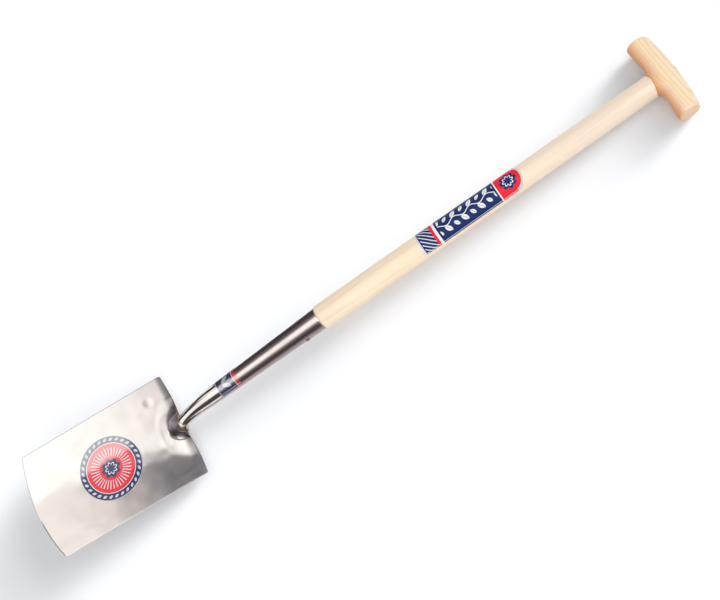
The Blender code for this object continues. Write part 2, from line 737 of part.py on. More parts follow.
def lay_on_back(pieces, grip):
    """Tips the tool until its heel and its grip touch the floor, and centres its box there."""
    points = world_points(pieces)
    grip_points = points.pop(grip.name)
    heel_points = np.vstack(list(points.values()))
    tip = 0.0
    for _ in range(8):
        down = np.array([math.sin(tip), 0.0, math.cos(tip)])
        low_heel = heel_points[np.argmin(heel_points @ down)]
        low_grip = grip_points[np.argmin(grip_points @ down)]
        tip = math.atan2(-(low_grip[2] - low_heel[2]), low_grip[0] - low_heel[0])
    turn = Matrix.Rotation(-tip, 4, "Y")
    every = np.vstack([heel_points, grip_points]) @ np.array(turn.to_3x3()).T
    low = every.min(axis=0)
    high = every.max(axis=0)
    shift = Vector((-0.5 * (low[0] + high[0]), -0.5 * (low[1] + high[1]), -low[2]))
    spade.matrix_world = Matrix.Translation(shift) @ turn


def main():
    """Builds every piece and lays the spade down."""
    face_block = build_face_block()
    heel_block = build_heel_block()
    neck_guide = build_neck_guide()
    rivet_hole = build_rivet_hole()
    wedge_slot = build_wedge_slot()
    mortise = build_mortise()
    grip = build_grip(mortise)
    pieces = [
        build_blade(),
        grip,
        build_socket((face_block, heel_block, rivet_hole)),
        build_neck_weld((neck_guide, face_block, heel_block)),
        build_edge_weld("edge_weld_left", 1.0, EDGE_WELD_LEFT, face_block),
        build_edge_weld("edge_weld_right", -1.0, EDGE_WELD_RIGHT, face_block),
        build_shaft(rivet_hole, wedge_slot),
        build_wedge(),
        build_rivet(),
        build_shaft_label(),
        build_socket_label(),
        build_blade_label(),
    ]
    lay_on_back(pieces, grip)


main()
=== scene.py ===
# %% [markdown]
# # A digging spade
#
# A stainless blade on a swan-necked socket, an ash shaft and a T-shaped grip. The packed
# CAD model is loaded first and stays where it is, as a frame. Every piece that shows is
# then modelled or dressed around it, at its real size and in its real place.

import math

import bpy
from mathutils import Matrix, Vector


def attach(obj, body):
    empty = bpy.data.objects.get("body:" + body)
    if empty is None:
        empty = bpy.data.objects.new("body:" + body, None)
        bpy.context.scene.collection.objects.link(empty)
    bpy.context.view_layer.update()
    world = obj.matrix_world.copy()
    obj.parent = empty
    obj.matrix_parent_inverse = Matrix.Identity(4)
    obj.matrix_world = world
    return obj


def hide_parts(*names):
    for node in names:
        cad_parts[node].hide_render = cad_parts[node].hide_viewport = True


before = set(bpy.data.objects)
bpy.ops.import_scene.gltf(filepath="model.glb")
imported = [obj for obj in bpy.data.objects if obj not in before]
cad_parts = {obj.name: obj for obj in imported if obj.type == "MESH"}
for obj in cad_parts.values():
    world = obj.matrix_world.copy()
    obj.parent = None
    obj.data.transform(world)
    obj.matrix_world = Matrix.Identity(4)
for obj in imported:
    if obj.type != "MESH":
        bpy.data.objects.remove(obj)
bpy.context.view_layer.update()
scene = bpy.context.scene
print("CAD nodes:", ", ".join(sorted(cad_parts)))

# %% [markdown]
# ## The camera
#
# A photograph of a flat tool gives away where the camera stood: the blade's corners, the
# shaft's edges and the grip's ends were measured in it, and a pinhole camera was fitted to
# them. It stands about two metres off, well above the floor and a little to one side.

# %% Camera
PHOTO_WIDTH = 720
FOCAL_PIXELS = 1306.48
SENSOR_WIDTH = 36.0
CAMERA_AT = (0.38912, -0.82034, 1.86511)
CAMERA_TURN = (14.4526, 21.6785, -30.6568)

camera_data = bpy.data.cameras.new("photo_camera")
camera_data.sensor_width = SENSOR_WIDTH
camera_data.lens = FOCAL_PIXELS * SENSOR_WIDTH / PHOTO_WIDTH
camera = bpy.data.objects.new("photo_camera", camera_data)
scene.collection.objects.link(camera)
camera.location = CAMERA_AT
camera.rotation_euler = [math.radians(a) for a in CAMERA_TURN]
scene.camera = camera
print(f"lens {camera_data.lens:.1f} mm")

# %% [markdown]
# ## Working about the shaft's axis
#
# The spade lies on its back, so its shaft is tipped by a degree or two. It is easier to
# model every piece about a straight axis, with x = 0 at the socket's rim, and to lay the
# finished mesh down in one move. The same trick serves the blade, whose own plane is
# lifted from the shaft's axis.

# %% The two frames that pieces are modelled in
RIM_AT = (-0.046610, 0.0, 0.038990)
SHAFT_TIP = math.radians(1.7547)
BLADE_TOP = (-0.290, 0.0, -0.0385)
BLADE_LIFT = math.radians(10.4)

SHAFT_FRAME = Matrix.Translation(RIM_AT) @ Matrix.Rotation(SHAFT_TIP, 4, "Y")
# The blade's own u runs down the blade, v runs across it and h stands out of its face.
BLADE_FRAME = SHAFT_FRAME @ Matrix(
    (
        (-math.cos(BLADE_LIFT), 0.0, math.sin(BLADE_LIFT), BLADE_TOP[0]),
        (0.0, 1.0, 0.0, BLADE_TOP[1]),
        (math.sin(BLADE_LIFT), 0.0, math.cos(BLADE_LIFT), BLADE_TOP[2]),
        (0.0, 0.0, 0.0, 1.0),
    )
)
print("socket's rim at", tuple(round(c, 4) for c in SHAFT_FRAME.translation))


# %% Helpers that pick and select
def pick(piece, mode="OBJECT"):
    """Makes one piece the only selected one, in object or edit mode."""
    if bpy.context.object and bpy.context.object.mode != "OBJECT":
        bpy.ops.object.mode_set(mode="OBJECT")
    bpy.ops.object.select_all(action="DESELECT")
    if piece is None:
        return
    piece.select_set(True)
    bpy.context.view_layer.objects.active = piece
    if mode == "EDIT":
        bpy.ops.object.mode_set(mode="EDIT")


def select_where(piece, kind, test):
    """In edit mode, selects the vertices or faces whose centre passes a test."""
    bpy.ops.mesh.select_mode(type=kind)
    bpy.ops.mesh.select_all(action="DESELECT")
    bpy.ops.object.mode_set(mode="OBJECT")
    if kind == "VERT":
        for vertex in piece.data.vertices:
            vertex.select = test(vertex.co)
    else:
        for face in piece.data.polygons:
            face.select = test(face.center)
    bpy.ops.object.mode_set(mode="EDIT")


# %% Helpers that shape
def modify(piece, kind, **settings):
    """Adds a modifier, sets it and applies it."""
    modifier = piece.modifiers.new(kind.lower(), kind)
    for name, value in settings.items():
        setattr(modifier, name, value)
    pick(piece)
    bpy.ops.object.modifier_apply(modifier=modifier.name)


def boolean(piece, tool, operation):
    """Cuts or joins with another piece, which is then thrown away."""
    modify(piece, "BOOLEAN", operation=operation, solver="EXACT", object=tool)
    bpy.data.objects.remove(tool, do_unlink=True)


def freeze():
    """Takes the selected piece's place, turn and scale into its mesh."""
    bpy.ops.object.transform_apply(location=True, rotation=True, scale=True)


def lay_down(piece, place):
    """Puts a piece in its place and leaves its object at the origin."""
    piece.matrix_world = place @ piece.matrix_world
    pick(piece)
    freeze()


def face_out(piece):
    """Merges doubles and turns every face outwards."""
    pick(piece, "EDIT")
    bpy.ops.mesh.select_all(action="SELECT")
    bpy.ops.mesh.remove_doubles(threshold=1e-6)
    bpy.ops.mesh.normals_make_consistent(inside=False)
    bpy.ops.object.mode_set(mode="OBJECT")


# %% Helpers that finish
def break_edges(piece, width):
    """Takes the sharpness off a piece's corners with a narrow bevel."""
    corner = math.radians(50.0)
    modify(piece, "BEVEL", width=width, segments=2, limit_method="ANGLE", angle_limit=corner)


def smooth(piece, degrees):
    """Shades a piece smooth and keeps its corners sharp."""
    pick(piece)
    bpy.ops.object.shade_smooth_by_angle(angle=math.radians(degrees))


def stands_for(piece, node, material):
    """Gives a piece its finish and lets it take a CAD node's place."""
    piece.data.materials.clear()
    piece.data.materials.append(material)
    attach(piece, "root")
    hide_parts(node)
    print(f"{piece.name} stands for {node}, {len(piece.data.polygons)} faces")


pick(None)

# %% [markdown]
# ## Building materials from nodes
#
# A material is a small calculation. These helpers add one node each and wire it up, so a
# finish below reads like a recipe: where on the piece, what pattern, what colour. What a
# node gives is held as a Value, and plain arithmetic on a Value adds the next Math node.


# %% What a node gives
class Value:
    """A node's result. Arithmetic on it adds one more node to the same recipe."""

    def __init__(self, recipe, socket):
        self.recipe = recipe
        self.socket = socket

    def __add__(self, other):
        return self.recipe.math("ADD", self, other)

    def __sub__(self, other):
        return self.recipe.math("SUBTRACT", self, other)

    def __rsub__(self, other):
        return self.recipe.math("SUBTRACT", other, self)

    def __mul__(self, other):
        return self.recipe.math("MULTIPLY", self, other)

    def __truediv__(self, other):
        return self.recipe.math("DIVIDE", self, other)

    def __abs__(self):
        return self.recipe.math("ABSOLUTE", self)

    def ramp(self, low, high, out_low=0.0, out_high=1.0):
        """Stretches one range of the value to another, with soft ends."""
        made = self.recipe.node("ShaderNodeMapRange", interpolation_type="SMOOTHSTEP")
        for socket, amount in zip(made.inputs, (self, low, high, out_low, out_high)):
            self.recipe.feed(socket, amount)
        return Value(self.recipe, made.outputs[0])

    def fade(self, low, high, amount=1.0):
        """The amount up to low, falling softly to nothing at high."""
        return self.ramp(low, high, amount, 0.0)

    def within(self, low, high, edge=0.0002):
        """1 where the value lies between two limits, with a soft edge."""
        return self.ramp(low - edge, low + edge) * self.fade(high - edge, high + edge)


def away(a, b):
    """How far from nought two distances lead, measured square to each other."""
    return a.recipe.math("SQRT", a * a + b * b)


# %% The recipe of a finish
class Recipe:
    """A Principled material that is built up node by node."""

    def __init__(self, name, roughness, metallic=0.0):
        self.material = bpy.data.materials.new(name)
        self.material.use_nodes = True
        self.tree = self.material.node_tree
        self.shader = self.tree.nodes["Principled BSDF"]
        self.shader.inputs["Roughness"].default_value = roughness
        self.shader.inputs["Metallic"].default_value = metallic

    def node(self, kind, **settings):
        """Adds a node and sets it up."""
        made = self.tree.nodes.new(kind)
        for name, value in settings.items():
            setattr(made, name, value)
        return made

    def feed(self, socket, value):
        """Wires a socket to what a node gives, or sets it to a plain value."""
        if isinstance(value, Value):
            self.tree.links.new(value.socket, socket)
        elif isinstance(value, tuple) and len(value) == 3 and socket.type == "RGBA":
            socket.default_value = (*value, 1.0)
        else:
            socket.default_value = value

    def math(self, operation, a, b=0.0):
        """One step of arithmetic."""
        made = self.node("ShaderNodeMath", operation=operation)
        self.feed(made.inputs[0], a)
        self.feed(made.inputs[1], b)
        return Value(self, made.outputs[0])

    def blend(self, factor, first, second):
        """A colour between two others."""
        made = self.node("ShaderNodeMix", data_type="RGBA")
        self.feed(made.inputs[0], factor)
        self.feed(made.inputs[6], first)
        self.feed(made.inputs[7], second)
        return Value(self, made.outputs[2])

    def layers(self, ground, *coats):
        """Coats of colour laid over a ground, each of them where its mask is 1."""
        for mask, colour in coats:
            ground = self.blend(mask, ground, colour)
        return ground

    def place(self, origin, scale=(1.0, 1.0, 1.0)):
        """Object coordinates, seen from another frame and then stretched."""
        inverse = origin.inverted()
        # A Mapping node can't mirror, so a left-handed frame is turned, and its signs flipped.
        mirror = -1.0 if inverse.determinant() < 0.0 else 1.0
        coordinates = Value(self, self.node("ShaderNodeTexCoord").outputs["Object"])
        moved = self.node("ShaderNodeMapping")
        self.feed(moved.inputs["Vector"], coordinates)
        moved.inputs["Location"].default_value = mirror * inverse.translation
        moved.inputs["Rotation"].default_value = (mirror * inverse.to_3x3()).to_euler()
        stretched = self.node("ShaderNodeMapping")
        self.feed(stretched.inputs["Vector"], Value(self, moved.outputs[0]))
        stretched.inputs["Scale"].default_value = [mirror * factor for factor in scale]
        return Value(self, stretched.outputs[0])

    def split(self, vector):
        """The three numbers of a place."""
        made = self.node("ShaderNodeSeparateXYZ")
        self.feed(made.inputs[0], vector)
        return [Value(self, output) for output in made.outputs]

    def noise(self, vector, scale, detail=2.0, roughness=0.5, distortion=0.0):
        """Soft random spots, from 0 to 1."""
        made = self.node("ShaderNodeTexNoise")
        self.feed(made.inputs["Vector"], vector)
        made.inputs["Scale"].default_value = scale
        made.inputs["Detail"].default_value = detail
        made.inputs["Roughness"].default_value = roughness
        made.inputs["Distortion"].default_value = distortion
        return Value(self, made.outputs["Fac"])

    def bump(self, height, distance, strength=1.0):
        """Turns a height into dents in the light."""
        made = self.node("ShaderNodeBump")
        made.inputs["Strength"].default_value = strength
        made.inputs["Distance"].default_value = distance
        self.feed(made.inputs["Height"], height)
        self.feed(self.shader.inputs["Normal"], Value(self, made.outputs[0]))

    def colour(self, value):
        """Sets the base colour."""
        self.feed(self.shader.inputs["Base Color"], value)

    def roughness(self, value):
        """Sets how dull the surface is, from 0 to 1."""
        self.feed(self.shader.inputs["Roughness"], value)


# %% [markdown]
# ## The blade
#
# The real blade is one sheet of stainless steel. A flat blank is cut and its edges are
# dressed, and a die then dishes it across, hollows it where the neck is welded on and
# leaves a raised shoulder round that. The model follows the same order. A grid is trimmed
# to the blank's outline and given its thickness with Solidify and soft edges with Bevel.
# Then every point of it is lifted by the height of the die's surface under it. A Simple
# Deform could do the dish, but it would not leave the edges upright or know the shoulder.

# %% The die's surface
BLADE_LENGTH = 0.2642
BLADE_WIDTH = 0.1884
HALF_WIDTH = 0.5 * BLADE_WIDTH
DISH_TOP = 0.0088
DISH_TIP = 0.0081
POCKET_DEPTH = 0.00894
POCKET_HALF_WIDTH = 0.025
POCKET_REACH = 0.031
SHOULDER_HEIGHT = 0.0035
SHOULDER_HALF_WIDTH = 0.064
SHOULDER_REACH = 0.050
ROLL_DROP = 0.0011
ROLL_WIDTH = 0.013
DENT_AT = (0.0385, 0.0650)
DENT_DEPTH = 0.00034
DENT_RADIUS = 0.0105


def swelling(u, v, reach, half_width, power):
    """1 at the middle of the top edge, falling to 0 on an oval round it."""
    return max(0.0, 1.0 - (v / half_width) ** 2 - (u / reach) ** 2) ** power


def die_height(u, v):
    """How far the working face stands out of the blade's plane."""
    down = min(1.0, max(0.0, u / BLADE_LENGTH))
    height = (DISH_TOP + (DISH_TIP - DISH_TOP) * down) * (v / HALF_WIDTH) ** 2
    height += SHOULDER_HEIGHT * swelling(u, v, SHOULDER_REACH, SHOULDER_HALF_WIDTH, 2.0)
    height -= POCKET_DEPTH * swelling(u, v, POCKET_REACH, POCKET_HALF_WIDTH, 1.25)
    off_dent = math.hypot(u - DENT_AT[0], v - DENT_AT[1]) / DENT_RADIUS
    height -= DENT_DEPTH * max(0.0, 1.0 - off_dent**2) ** 2
    return height - ROLL_DROP * min(1.0, max(0.0, 1.0 - u / ROLL_WIDTH)) ** 2


for title, u, v in (("long edge", 0.1, HALF_WIDTH), ("middle", 0.1, 0.0), ("hollow", 0.01, 0.0)):
    print(f"the face stands {1000.0 * die_height(u, v):.1f} mm out at its {title}")

# %% The blank's outline
CORNER_RADIUS = 0.0025
TOP_EDGE_INSET = 0.0012
TOP_EDGE_SWELL = 0.0014
TOP_EDGE_SCOOP = 0.0024
SCOOP_HALF_WIDTH = 0.052
CUTTING_EDGE_BOW = 0.0166


def edge_rows(v):
    """Where the sheet starts and ends on a line down the blade."""
    share = min(1.0, abs(v / HALF_WIDTH))
    inset = max(0.0, abs(v) - (HALF_WIDTH - CORNER_RADIUS))
    rounding = CORNER_RADIUS - math.sqrt(max(0.0, CORNER_RADIUS**2 - inset**2))
    scoop = TOP_EDGE_SCOOP * max(0.0, 1.0 - (v / SCOOP_HALF_WIDTH) ** 2) ** 2
    top = rounding + TOP_EDGE_INSET + scoop - 4.0 * TOP_EDGE_SWELL * share * (1.0 - share)
    return top, BLADE_LENGTH + CUTTING_EDGE_BOW * (1.0 - share**2) - rounding


print(f"the sheet is {1000.0 * (edge_rows(0.0)[1] - edge_rows(0.0)[0]):.1f} mm long at its middle")

# %% Cut the blank
BLADE_THICKNESS = 0.0025
BLADE_CELLS = 150
SMOOTH_STEEL = 40.0

bpy.ops.mesh.primitive_grid_add(x_subdivisions=BLADE_CELLS, y_subdivisions=BLADE_CELLS, size=2.0)
blade = bpy.context.object
blade.name = "pressed_blade"
# The grid's lines crowd towards the long edges and the neck, where the form is finest.
for vertex in blade.data.vertices:
    v = HALF_WIDTH * (0.7 * vertex.co.y + 0.3 * math.sin(0.5 * math.pi * vertex.co.y))
    top, tip = edge_rows(v)
    down = 0.5 + 0.5 * vertex.co.x
    vertex.co = (top + (tip - top) * (0.45 * down + 0.55 * down**2), v, 0.0)
modify(blade, "SOLIDIFY", thickness=BLADE_THICKNESS, offset=-1.0)
break_edges(blade, 0.0004)
print("blank", len(blade.data.polygons), "faces")

# %% Press it
for vertex in blade.data.vertices:
    vertex.co.z += die_height(vertex.co.x, vertex.co.y)
face_out(blade)
lay_down(blade, BLADE_FRAME)
smooth(blade, SMOOTH_STEEL)
print("blade pressed", len(blade.data.polygons), "faces")

# %% [markdown]
# ### Blade steel
#
# Stainless sheet is bright but not a mirror: rolling leaves very fine lines down its
# length, and handling leaves cloudy patches. On top of that are painted reflections: darker
# towards the top edge, bright patches below the neck and a soft dark spot mid-blade. Near
# the weld the heat has tinted it straw and brown. The tint follows the distance to the
# weld. Towards the top of one long edge the face is bluish grey in patches, and the top
# edge's two ends, where it rolls away, carry painted shade. A fine grey line along the
# other long edge and the cutting edge's upper part is a painted dark reflection.

# %% The sheet, its clouds, and its painted reflections
BRIGHT = (0.90, 0.865, 0.84)
CLOUDED = (0.86, 0.82, 0.79)
# Painted light and shade on the face: a darker top, bright patches and a dark spot.
PAINTED_DIMMER_TOP = (0.74, 0.68, 0.66)
PAINTED_HIGHLIGHT = (0.99, 0.97, 0.95)
PAINTED_DARK_SPOT = (0.42, 0.40, 0.44)

steel = Recipe("blade_stainless", 0.24, metallic=1.0)
blade_place = steel.place(BLADE_FRAME)
u_place, v_place, _ = steel.split(blade_place)
clouds = steel.noise(steel.place(BLADE_FRAME, (1.0, 1.6, 1.0)), 14.0, 3.0, 0.55, 0.6)


def patch(u, v, inner, outer, amount=1.0):
    """A soft round patch on the blade: amount at its middle, nothing beyond outer."""
    return away(u_place - u, v_place - v).fade(inner, outer, amount)


tone = steel.layers(
    BRIGHT,
    (clouds.ramp(0.35, 0.70), CLOUDED),
    # painted darker reflection, fading from the top edge down the blade
    (u_place.fade(0.0, 0.16, 0.35), PAINTED_DIMMER_TOP),
    # painted highlights: two bright patches on the face below the neck
    (patch(0.014, -0.030, 0.012, 0.024), PAINTED_HIGHLIGHT),
    (patch(0.038, -0.010, 0.006, 0.020), PAINTED_HIGHLIGHT),
    # painted dark reflection: a soft dark spot near the middle of the face
    (patch(0.080, -0.020, 0.003, 0.018, 0.6), PAINTED_DARK_SPOT),
)
print("sheet steel so far,", len(steel.tree.nodes), "nodes")

# %% The heat's tint round the weld, bluish patches, and painted shade on the top edge
WELD_MIDDLE = 0.008
BLUE_GREY = (0.46, 0.47, 0.56)
HEAT_GREY = (0.18, 0.17, 0.20)
HEAT_BROWN = (0.15, 0.11, 0.08)
SOOT = (0.06, 0.05, 0.05)
SHADED = (0.34, 0.31, 0.30)

from_middle = v_place - WELD_MIDDLE
reach = steel.math("SQRT", u_place * u_place + from_middle * from_middle * 0.72)
reach = reach + clouds * 0.008
bloom = steel.noise(steel.place(BLADE_FRAME, (1.0, 1.4, 1.0)), 24.0, 2.0, 0.5, 0.4)
blue_patches = u_place.fade(0.020, 0.110) * v_place.fade(-0.056, -0.040)
rolled = u_place.fade(0.006, 0.018, 0.75) * abs(v_place).fade(0.054, 0.062)
near_weld = away(u_place * 1.8, from_middle * 0.62) + bloom * 0.006
spots = steel.noise(blade_place, 330.0, 3.0, 0.6)
tone = steel.layers(
    tone,
    # bluish grey in patches towards the top of the -v long edge
    (blue_patches * bloom.ramp(0.44, 0.62, 0.10, 0.45), BLUE_GREY),
    # painted shade on the top edge's two ends, where it rolls away
    (rolled, SHADED),
    (reach.fade(0.028, 0.034, 0.94), HEAT_GREY),
    (near_weld.fade(0.018, 0.034) * spots.ramp(0.36, 0.60, 0.45, 1.0), HEAT_BROWN),
    (patch(0.011, 0.020, 0.004, 0.013, 0.65), SOOT),
)
print("heat tint added,", len(steel.tree.nodes), "nodes")

# %% A painted dark line on two edges, and how the steel shines
EDGE_LINE_START = 0.0014
EDGE_LINE_FULL = 0.0005
PAINTED_EDGE_LINE = (0.30, 0.29, 0.30)

share = v_place / HALF_WIDTH
past_edge = u_place - (BLADE_LENGTH + CUTTING_EDGE_BOW) + share * share * CUTTING_EDGE_BOW
# A painted dark reflection: a grey line along the +v long edge and the cutting edge's upper part.
cut = past_edge.ramp(-EDGE_LINE_START, -EDGE_LINE_FULL) * v_place.ramp(-0.030, 0.040)
side = v_place.ramp(HALF_WIDTH - EDGE_LINE_START, HALF_WIDTH - EDGE_LINE_FULL)
steel.colour(steel.blend(steel.math("MAXIMUM", cut, side) * 0.8, tone, PAINTED_EDGE_LINE))
dull = reach.fade(0.026, 0.036, 0.30)
steel.roughness(steel.math("MAXIMUM", dull, clouds.ramp(0.3, 0.75, 0.09, 0.15)))
waves = steel.noise(steel.place(BLADE_FRAME, (1.0, 1.3, 1.0)), 17.0, 1.0)
lines = steel.noise(steel.place(BLADE_FRAME, (12.0, 900.0, 12.0)), 1.0, 2.0)
steel.bump(waves + lines * 0.012, 0.0010, 0.9)
stands_for(blade, "blade", steel.material)

# %% [markdown]
# ## The socket and its swan neck
#
# The real socket is one length of tube, drawn to a taper and bent twice at its lower end.
# A circle is added at the rim and extruded from station to station along that line, turned
# and narrowed at each one, which is just how the bends run. Solidify then gives it a wall.

# %% The line of the tube
RIM_RADIUS = 0.0190
STRAIGHT = 0.2258
TUBE_TILT = math.radians(2.1)
NECK_BEND_RADIUS = 0.1324
NECK_BEND = NECK_BEND_RADIUS * math.radians(24.4)
FOOT_BEND_RADIUS = 0.024
FOOT_BEND = FOOT_BEND_RADIUS * math.radians(37.0)
TUBE_WALL = 0.0016
TUBE_STATIONS = (0.0, 0.100, STRAIGHT, STRAIGHT + NECK_BEND, STRAIGHT + NECK_BEND + FOOT_BEND)
TUBE_RADII = (RIM_RADIUS, 0.01695, 0.01415, 0.01045, 0.0085)
# The length of each stretch, and the radius it is bent to, or 0 where it is straight.
TUBE_STRETCHES = (
    (STRAIGHT, 0.0),
    (NECK_BEND, NECK_BEND_RADIUS),
    (FOOT_BEND, FOOT_BEND_RADIUS),
    (1.0, 0.0),
)


def tube_radius(along):
    """Half the tube's outside diameter, a distance below the rim."""
    for i in range(1, len(TUBE_STATIONS)):
        if along <= TUBE_STATIONS[i]:
            share = (along - TUBE_STATIONS[i - 1]) / (TUBE_STATIONS[i] - TUBE_STATIONS[i - 1])
            return TUBE_RADII[i - 1] + (TUBE_RADII[i] - TUBE_RADII[i - 1]) * share
    return TUBE_RADII[-1]


def tube_line(along):
    """The centre line's point and its angle below the shaft's axis."""
    point = Vector((0.0, 0.0, 0.0))
    heading = TUBE_TILT
    for length, radius in TUBE_STRETCHES:
        step = min(along, length)
        along -= step
        if radius == 0.0:
            point += step * Vector((-math.cos(heading), 0.0, -math.sin(heading)))
            continue
        turned = heading + step / radius
        right = math.sin(turned) - math.sin(heading)
        down = math.cos(heading) - math.cos(turned)
        point -= radius * Vector((right, 0.0, down))
        heading = turned
    return point, heading


print("tube's foot at", tuple(round(c, 4) for c in tube_line(TUBE_STATIONS[-1])[0]))


# %% A helper that extrudes a ring along a line
RING_SIDES = 96


def draw_rings(name, stations):
    """Adds a circle and extrudes it from station to station: (centre, angle, radius)."""
    centre, heading, radius = stations[0]
    pick(None)
    bpy.ops.mesh.primitive_circle_add(
        vertices=RING_SIDES,
        radius=radius,
        location=centre,
        rotation=(0.0, 0.5 * math.pi - heading, 0.0),
    )
    piece = bpy.context.object
    piece.name = name
    freeze()
    bpy.ops.object.mode_set(mode="EDIT")
    bpy.ops.mesh.select_all(action="SELECT")
    for i in range(1, len(stations)):
        last_centre, last_heading, last_radius = stations[i - 1]
        centre, heading, radius = stations[i]
        move = {"value": centre - last_centre}
        bpy.ops.mesh.extrude_edges_move(TRANSFORM_OT_translate=move)
        bpy.ops.transform.rotate(
            value=heading - last_heading, orient_axis="Y", center_override=centre
        )
        size = radius / last_radius
        bpy.ops.transform.resize(value=(size, size, size), center_override=centre)
    bpy.ops.object.mode_set(mode="OBJECT")
    return piece


# %% Draw the tube
FOOT_SPARE = 0.016


def steps(start, end, count):
    """Evenly spaced values, both ends among them."""
    return [start + (end - start) * i / count for i in range(count + 1)]


marks = [0.0]
for start, end, count in zip(TUBE_STATIONS, TUBE_STATIONS[1:], (4, 5, 12, 8)):
    marks += steps(start, end, count)[1:]
# The last ring is spare length, for the cut below.
marks.append(TUBE_STATIONS[-1] + FOOT_SPARE)
tube = draw_rings("swan_neck_socket", [(*tube_line(m), tube_radius(m)) for m in marks])
print("tube drawn through", len(marks), "stations")

# %% Trim its foot level with the blade's back, and give it a wall
FOOT_LEVEL = 0.0089
blade_axis = SHAFT_FRAME.inverted() @ BLADE_FRAME
foot_plane = blade_axis @ Vector((0.0, 0.0, -FOOT_LEVEL))
blade_out = (blade_axis.to_3x3() @ Vector((0.0, 0.0, 1.0))).normalized()
pick(tube, "EDIT")
bpy.ops.mesh.select_all(action="SELECT")
bpy.ops.mesh.bisect(plane_co=foot_plane, plane_no=blade_out, clear_inner=True, use_fill=False)
bpy.ops.object.mode_set(mode="OBJECT")
face_out(tube)
modify(tube, "SOLIDIFY", thickness=TUBE_WALL, offset=-1.0, use_even_offset=True)
break_edges(tube, 0.0003)
face_out(tube)
lay_down(tube, SHAFT_FRAME)
smooth(tube, SMOOTH_STEEL)
print("tube trimmed", len(tube.data.polygons), "faces")

# %% [markdown]
# ### Socket steel
#
# The tube is polished harder than the blade, so it shows the studio as clear bands of
# light and dark along its length. Faint lines run round it from the polishing belt.

# %% Socket steel
POLISHED = (0.88, 0.83, 0.80)
HAZY = (0.80, 0.75, 0.72)

polish = Recipe("socket_stainless", 0.24, metallic=1.0)
haze = polish.noise(polish.place(SHAFT_FRAME), 40.0, 3.0, 0.55)
belt = polish.noise(polish.place(SHAFT_FRAME, (1400.0, 25.0, 25.0)), 1.0, 2.0)
polish.colour(polish.blend(haze.ramp(0.35, 0.7), POLISHED, HAZY))
polish.roughness(haze.ramp(0.3, 0.75, 0.12, 0.18))
polish.bump(belt, 0.00002, 0.08)
stands_for(tube, "tubular_socket", polish.material)

# %% [markdown]
# ## The weld
#
# Weld metal is a row of overlapping puddles, lumpy and heat-tinted. The CAD solids hold its
# place and size, so each is copied, remeshed finely and roughened with a cloud pattern,
# which is what a Displace modifier is for.

# %% The weld's metal
WELD_STRAW = (0.40, 0.33, 0.26)
WELD_SCALE = (0.07, 0.05, 0.035)

weld = Recipe("weld_heat_tinted", 0.42, metallic=1.0)
scale = weld.noise(weld.place(BLADE_FRAME), 620.0, 3.0, 0.6)
weld.colour(weld.blend(scale.ramp(0.42, 0.62), WELD_STRAW, WELD_SCALE))
weld.roughness(scale.ramp(0.4, 0.65, 0.32, 0.60))
weld.bump(scale, 0.0003, 0.6)
print("weld metal,", len(weld.tree.nodes), "nodes")

# %% Weld beads
WELD_VOXEL = 0.00035
LUMP_HEIGHT = 0.0007

lumps = bpy.data.textures.new("weld_lumps", "CLOUDS")
lumps.noise_scale = 0.0022
lumps.noise_depth = 2
lumpy = {"texture": lumps, "texture_coords": "GLOBAL", "strength": LUMP_HEIGHT, "mid_level": 0.45}


def copy_of(node, name):
    """A loose copy of a CAD node's mesh."""
    piece = bpy.data.objects.new(name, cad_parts[node].data.copy())
    scene.collection.objects.link(piece)
    face_out(piece)
    return piece


def weld_bead(node, name):
    """A lumpy bead in the place of one CAD weld."""
    bead = copy_of(node, name)
    modify(bead, "REMESH", mode="VOXEL", voxel_size=WELD_VOXEL)
    modify(bead, "SMOOTH", factor=0.5, iterations=4)
    modify(bead, "DISPLACE", **lumpy)
    smooth(bead, 60.0)
    stands_for(bead, node, weld.material)


weld_bead("neck_weld_bead", "neck_weld")
weld_bead("edge_weld_left", "left_weld")
weld_bead("edge_weld_right", "right_weld")

# %% [markdown]
# ## The shaft
#
# Ash, turned round and tapered, with a rounded shoulder that stands a millimetre proud of
# the socket's rim. It is drawn with the same ring helper as the tube. Its end is coped: cut
# to the round of the grip with a drum, like the saddle cut on a pipe. The tenon that runs
# on through the grip is joined to it afterwards.

# %% Draw the shaft
SHAFT_LENGTH = 0.6145
SHAFT_TOP_RADIUS = 0.0182
BELLY_AT = 0.100
BELLY_RADIUS = 0.02075
RIM_WOOD_RADIUS = 0.0204
SPIGOT_DEPTH = 0.165
GAP = 0.0003
COPE_RADIUS = 0.044
# The rounded shoulder over the rim: distance from the rim, and radius.
SHOULDER_ROUND = ((0.0004, 0.0192), (0.0008, 0.0197), (0.0018, 0.0202))


def shaft_radius(x):
    """Half the shaft's diameter above the rim."""
    if x < BELLY_AT:
        return RIM_WOOD_RADIUS + (BELLY_RADIUS - RIM_WOOD_RADIUS) * x / BELLY_AT
    share = (x - BELLY_AT) / (SHAFT_LENGTH - BELLY_AT)
    return BELLY_RADIUS + (SHAFT_TOP_RADIUS - BELLY_RADIUS) * share


def on_axis(x, radius):
    """A station on the shaft's straight axis."""
    return Vector((x, 0.0, 0.0)), 0.0, radius


spigot = [(*tube_line(m), tube_radius(m) - TUBE_WALL - GAP) for m in steps(SPIGOT_DEPTH, 0.004, 6)]
shoulder = [on_axis(0.0, RIM_RADIUS - TUBE_WALL - GAP)]
shoulder += [on_axis(*station) for station in SHOULDER_ROUND]
places = [0.004] + steps(0.03, BELLY_AT, 3) + steps(0.16, SHAFT_LENGTH, 12)
body = [on_axis(x, shaft_radius(x)) for x in places]
body.append(on_axis(SHAFT_LENGTH + 0.008, SHAFT_TOP_RADIUS))
wood = draw_rings("ash_shaft", spigot + shoulder + body)
